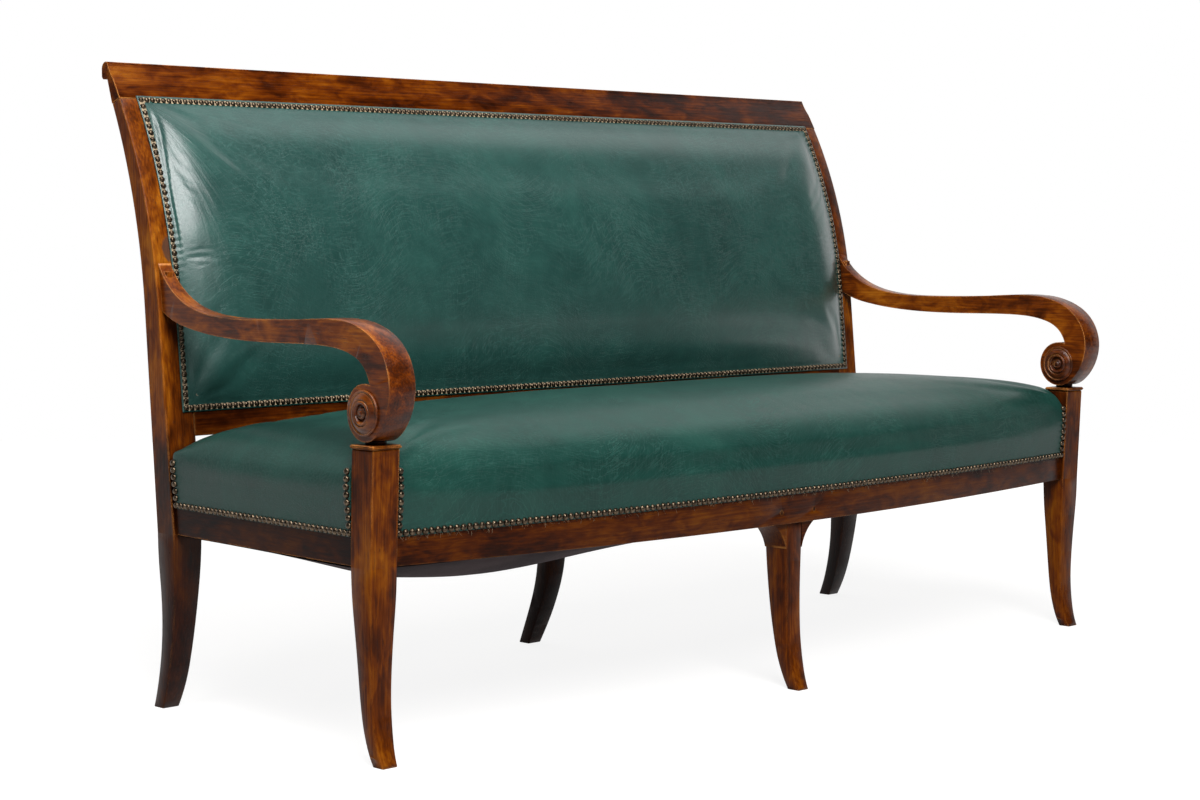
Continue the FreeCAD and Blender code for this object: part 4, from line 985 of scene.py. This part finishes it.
def buildUnder():
    x, y, kept, u, v = planGrid(under["inset"], under["grid"])
    inward = np.minimum(y - railFace(x) - 0.001, drawnFront + plan["railRear"] - y)
    inward = np.clip(np.minimum(inward, railSide(y) - np.abs(x)), 0, under["slope"]) / under["slope"]
    pull = np.sin(inward * math.pi / 2)
    across = (x - under["cornerAt"][0]) / under["cornerSpread"][0]
    behind = (y - drawnFront - under["cornerAt"][1]) / under["cornerSpread"][1]
    loose = np.exp(-across ** 2 - behind ** 2)
    z = under["level"] - under["sag"] * pull - under["cornerSag"] * loose * np.sqrt(pull)
    centreX = (x[1:, 1:] + x[:-1, :-1]) / 2
    centreY = (y[1:, 1:] + y[:-1, :-1]) / 2
    for node in ("front_centre_leg", "rear_centre_leg"):
        low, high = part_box(node)
        margin = under["legRoom"]
        kept &= ~((centreX > low.x - margin) & (centreX < high.x + margin)
                  & (centreY > low.y - margin) & (centreY < high.y + margin))
    points = np.stack([x, y, z], axis=2).reshape(-1, 3)
    faces = gridFaces(kept)
    used = sorted({k for face in faces for k in face})
    renumber = {k: n for n, k in enumerate(used)}
    faces = [tuple(renumber[k] for k in face) for face in faces]
    return addPiece("underCloth", points[used], faces, "under")


outside = {"columns": 120, "rows": 48, "bends": 3, "arc": 1.033}  # arc: curved height over straight height


def buildOutside():
    node = nodes["outside_back_cover"]
    spots = np.array([v.co[:] for v in node.data.vertices])
    curve = np.polyfit(spots[:, 2], spots[:, 1], outside["bends"])
    low = spots.min(axis=0)
    high = spots.max(axis=0)
    columns = np.linspace(low[0], high[0], outside["columns"] + 1)
    x, z = np.meshgrid(columns, np.linspace(low[2], high[2], outside["rows"] + 1))
    y = np.polyval(curve, z)
    points = np.stack([x, y, z], axis=2).reshape(-1, 3)
    faces = gridFaces(np.ones((outside["rows"], outside["columns"]), bool))
    return addPiece("outsideBack", points, faces, "outside"), high - low


underCloth = buildUnder()
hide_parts("bottom_cloth")
outsideBack, outsideSize = buildOutside()
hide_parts("outside_back_cover")
print("stage: sheets made")

# Floor, light and camera

stage = {
    "floor": {"half": 40.0, "matt": "#8c8a88", "near": "#f0f0f0", "far": "#ffffff", "fade": (1.0, 3.2)},
    "key": {"place": (-1.4, -0.9, 3.4), "aim": (0.0, 0.0, 0.5), "size": (2.0, 1.4), "power": 92.0},
    "strip": {"place": (-1.9, -3.0, 3.05), "aim": (-0.7, 0.2, 0.8), "size": (2.0, 1.8), "power": 165.0},
    "side": {"place": (-3.5, 0.1, 1.5), "aim": (-0.4, 0.0, 0.5), "size": (1.2, 1.4), "power": 3.0},
    "ambient": 0.14,
    "backdrop": {"place": (2.9, 2.9), "half": 7.0, "height": 6.0, "glow": "#d2d2d2"},
    "flags": {"corner": (-4.6, -3.6), "ends": (12.0, 7.0), "height": 14.0, "colour": "#3a3a3a"},
}


def addSurround(name, spots, material):
    mesh = bpy.data.meshes.new(name)
    mesh.from_pydata(spots, [], [(0, 1, 2, 3)])
    mesh.materials.append(material)
    surround = bpy.data.objects.new(name, mesh)
    bpy.context.collection.objects.link(surround)
    return surround


def buildFloor():
    ground = stage["floor"]
    half = ground["half"]
    f = Finish("paleFloor")
    matt = f.node("BsdfDiffuse", {}, {"Color": paint(ground["matt"])})
    away = f.node("VectorMath", {"operation": "LENGTH"}, {0: f.here}, "Value")
    pale = f.mix(f.band(away, *ground["fade"]), paint(ground["near"]), paint(ground["far"]))
    lit = f.node("Emission", {}, {"Color": pale, "Strength": 1.0})
    both = f.node("AddShader", {}, {0: matt, 1: lit})
    f.show(f.node("MixShader", {}, {0: f.seen(), 1: matt, 2: both}))
    spots = [(-half, -half, 0), (half, -half, 0), (half, half, 0), (-half, half, 0)]
    addSurround("floor", spots, f.material)


def buildBackdrop():
    sheet = stage["backdrop"]
    x, y = sheet["place"]
    run = sheet["half"] / math.sqrt(2)
    f = Finish("whiteBackdrop")
    white = f.mix(f.seen(), paint(sheet["glow"]), paint("#ffffff"))
    f.show(f.node("Emission", {}, {"Color": white, "Strength": 1.0}))
    low = [(x - run, y + run, 0.0), (x + run, y - run, 0.0)]
    high = [(x + run, y - run, sheet["height"]), (x - run, y + run, sheet["height"])]
    addSurround("backdrop", low + high, f.material)


def addLight(name, softbox):
    data = bpy.data.lights.new(name, "AREA")
    data.shape = "RECTANGLE"
    data.size, data.size_y = softbox["size"]
    data.energy = softbox["power"]
    lamp = bpy.data.objects.new(name, data)
    bpy.context.collection.objects.link(lamp)
    lamp.location = softbox["place"]
    heading = Vector(softbox["aim"]) - Vector(softbox["place"])
    lamp.rotation_euler = heading.to_track_quat("-Z", "Y").to_euler()


def buildFlags():  # dark cloths out of the picture, so that leather and wood keep their depth
    flags = stage["flags"]
    f = Finish("darkFlag")
    f.show(f.node("BsdfDiffuse", {}, {"Color": paint(flags["colour"])}))
    (left, front), (right, rear), high = flags["corner"], flags["ends"], flags["height"]
    for name, (x, y) in (("frontFlag", (right, front)), ("leftFlag", (left, rear))):
        spots = [(left, front, 0.0), (x, y, 0.0), (x, y, high), (left, front, high)]
        addSurround(name, spots, f.material).visible_camera = False


def buildWorld():
    f = Finish("whiteRoom", "worlds")
    level = stage["ambient"]
    shade = f.mix(f.seen(), (level, level, level, 1.0), paint("#ffffff"))
    f.show(f.node("Background", {}, {"Color": shade}), "OutputWorld")
    bpy.context.scene.world = f.material


buildFloor()
buildBackdrop()
buildFlags()
for name in ("key", "strip", "side"):
    addLight(name + "Light", stage[name])
buildWorld()

view = {"lens": 70.674, "sensor": 36.0, "place": (-2.8687, -2.7908, 0.7436), "turn": (85.789, 0.0, -44.745)}
cameraData = bpy.data.cameras.new("camera")
cameraData.lens = view["lens"]
cameraData.sensor_width = view["sensor"]
camera = bpy.data.objects.new("camera", cameraData)
bpy.context.collection.objects.link(camera)
camera.location = view["place"]
camera.rotation_euler = [math.radians(a) for a in view["turn"]]
bpy.context.scene.camera = camera
bpy.context.scene.view_settings.view_transform = "Standard"
print("stage: camera and light set")
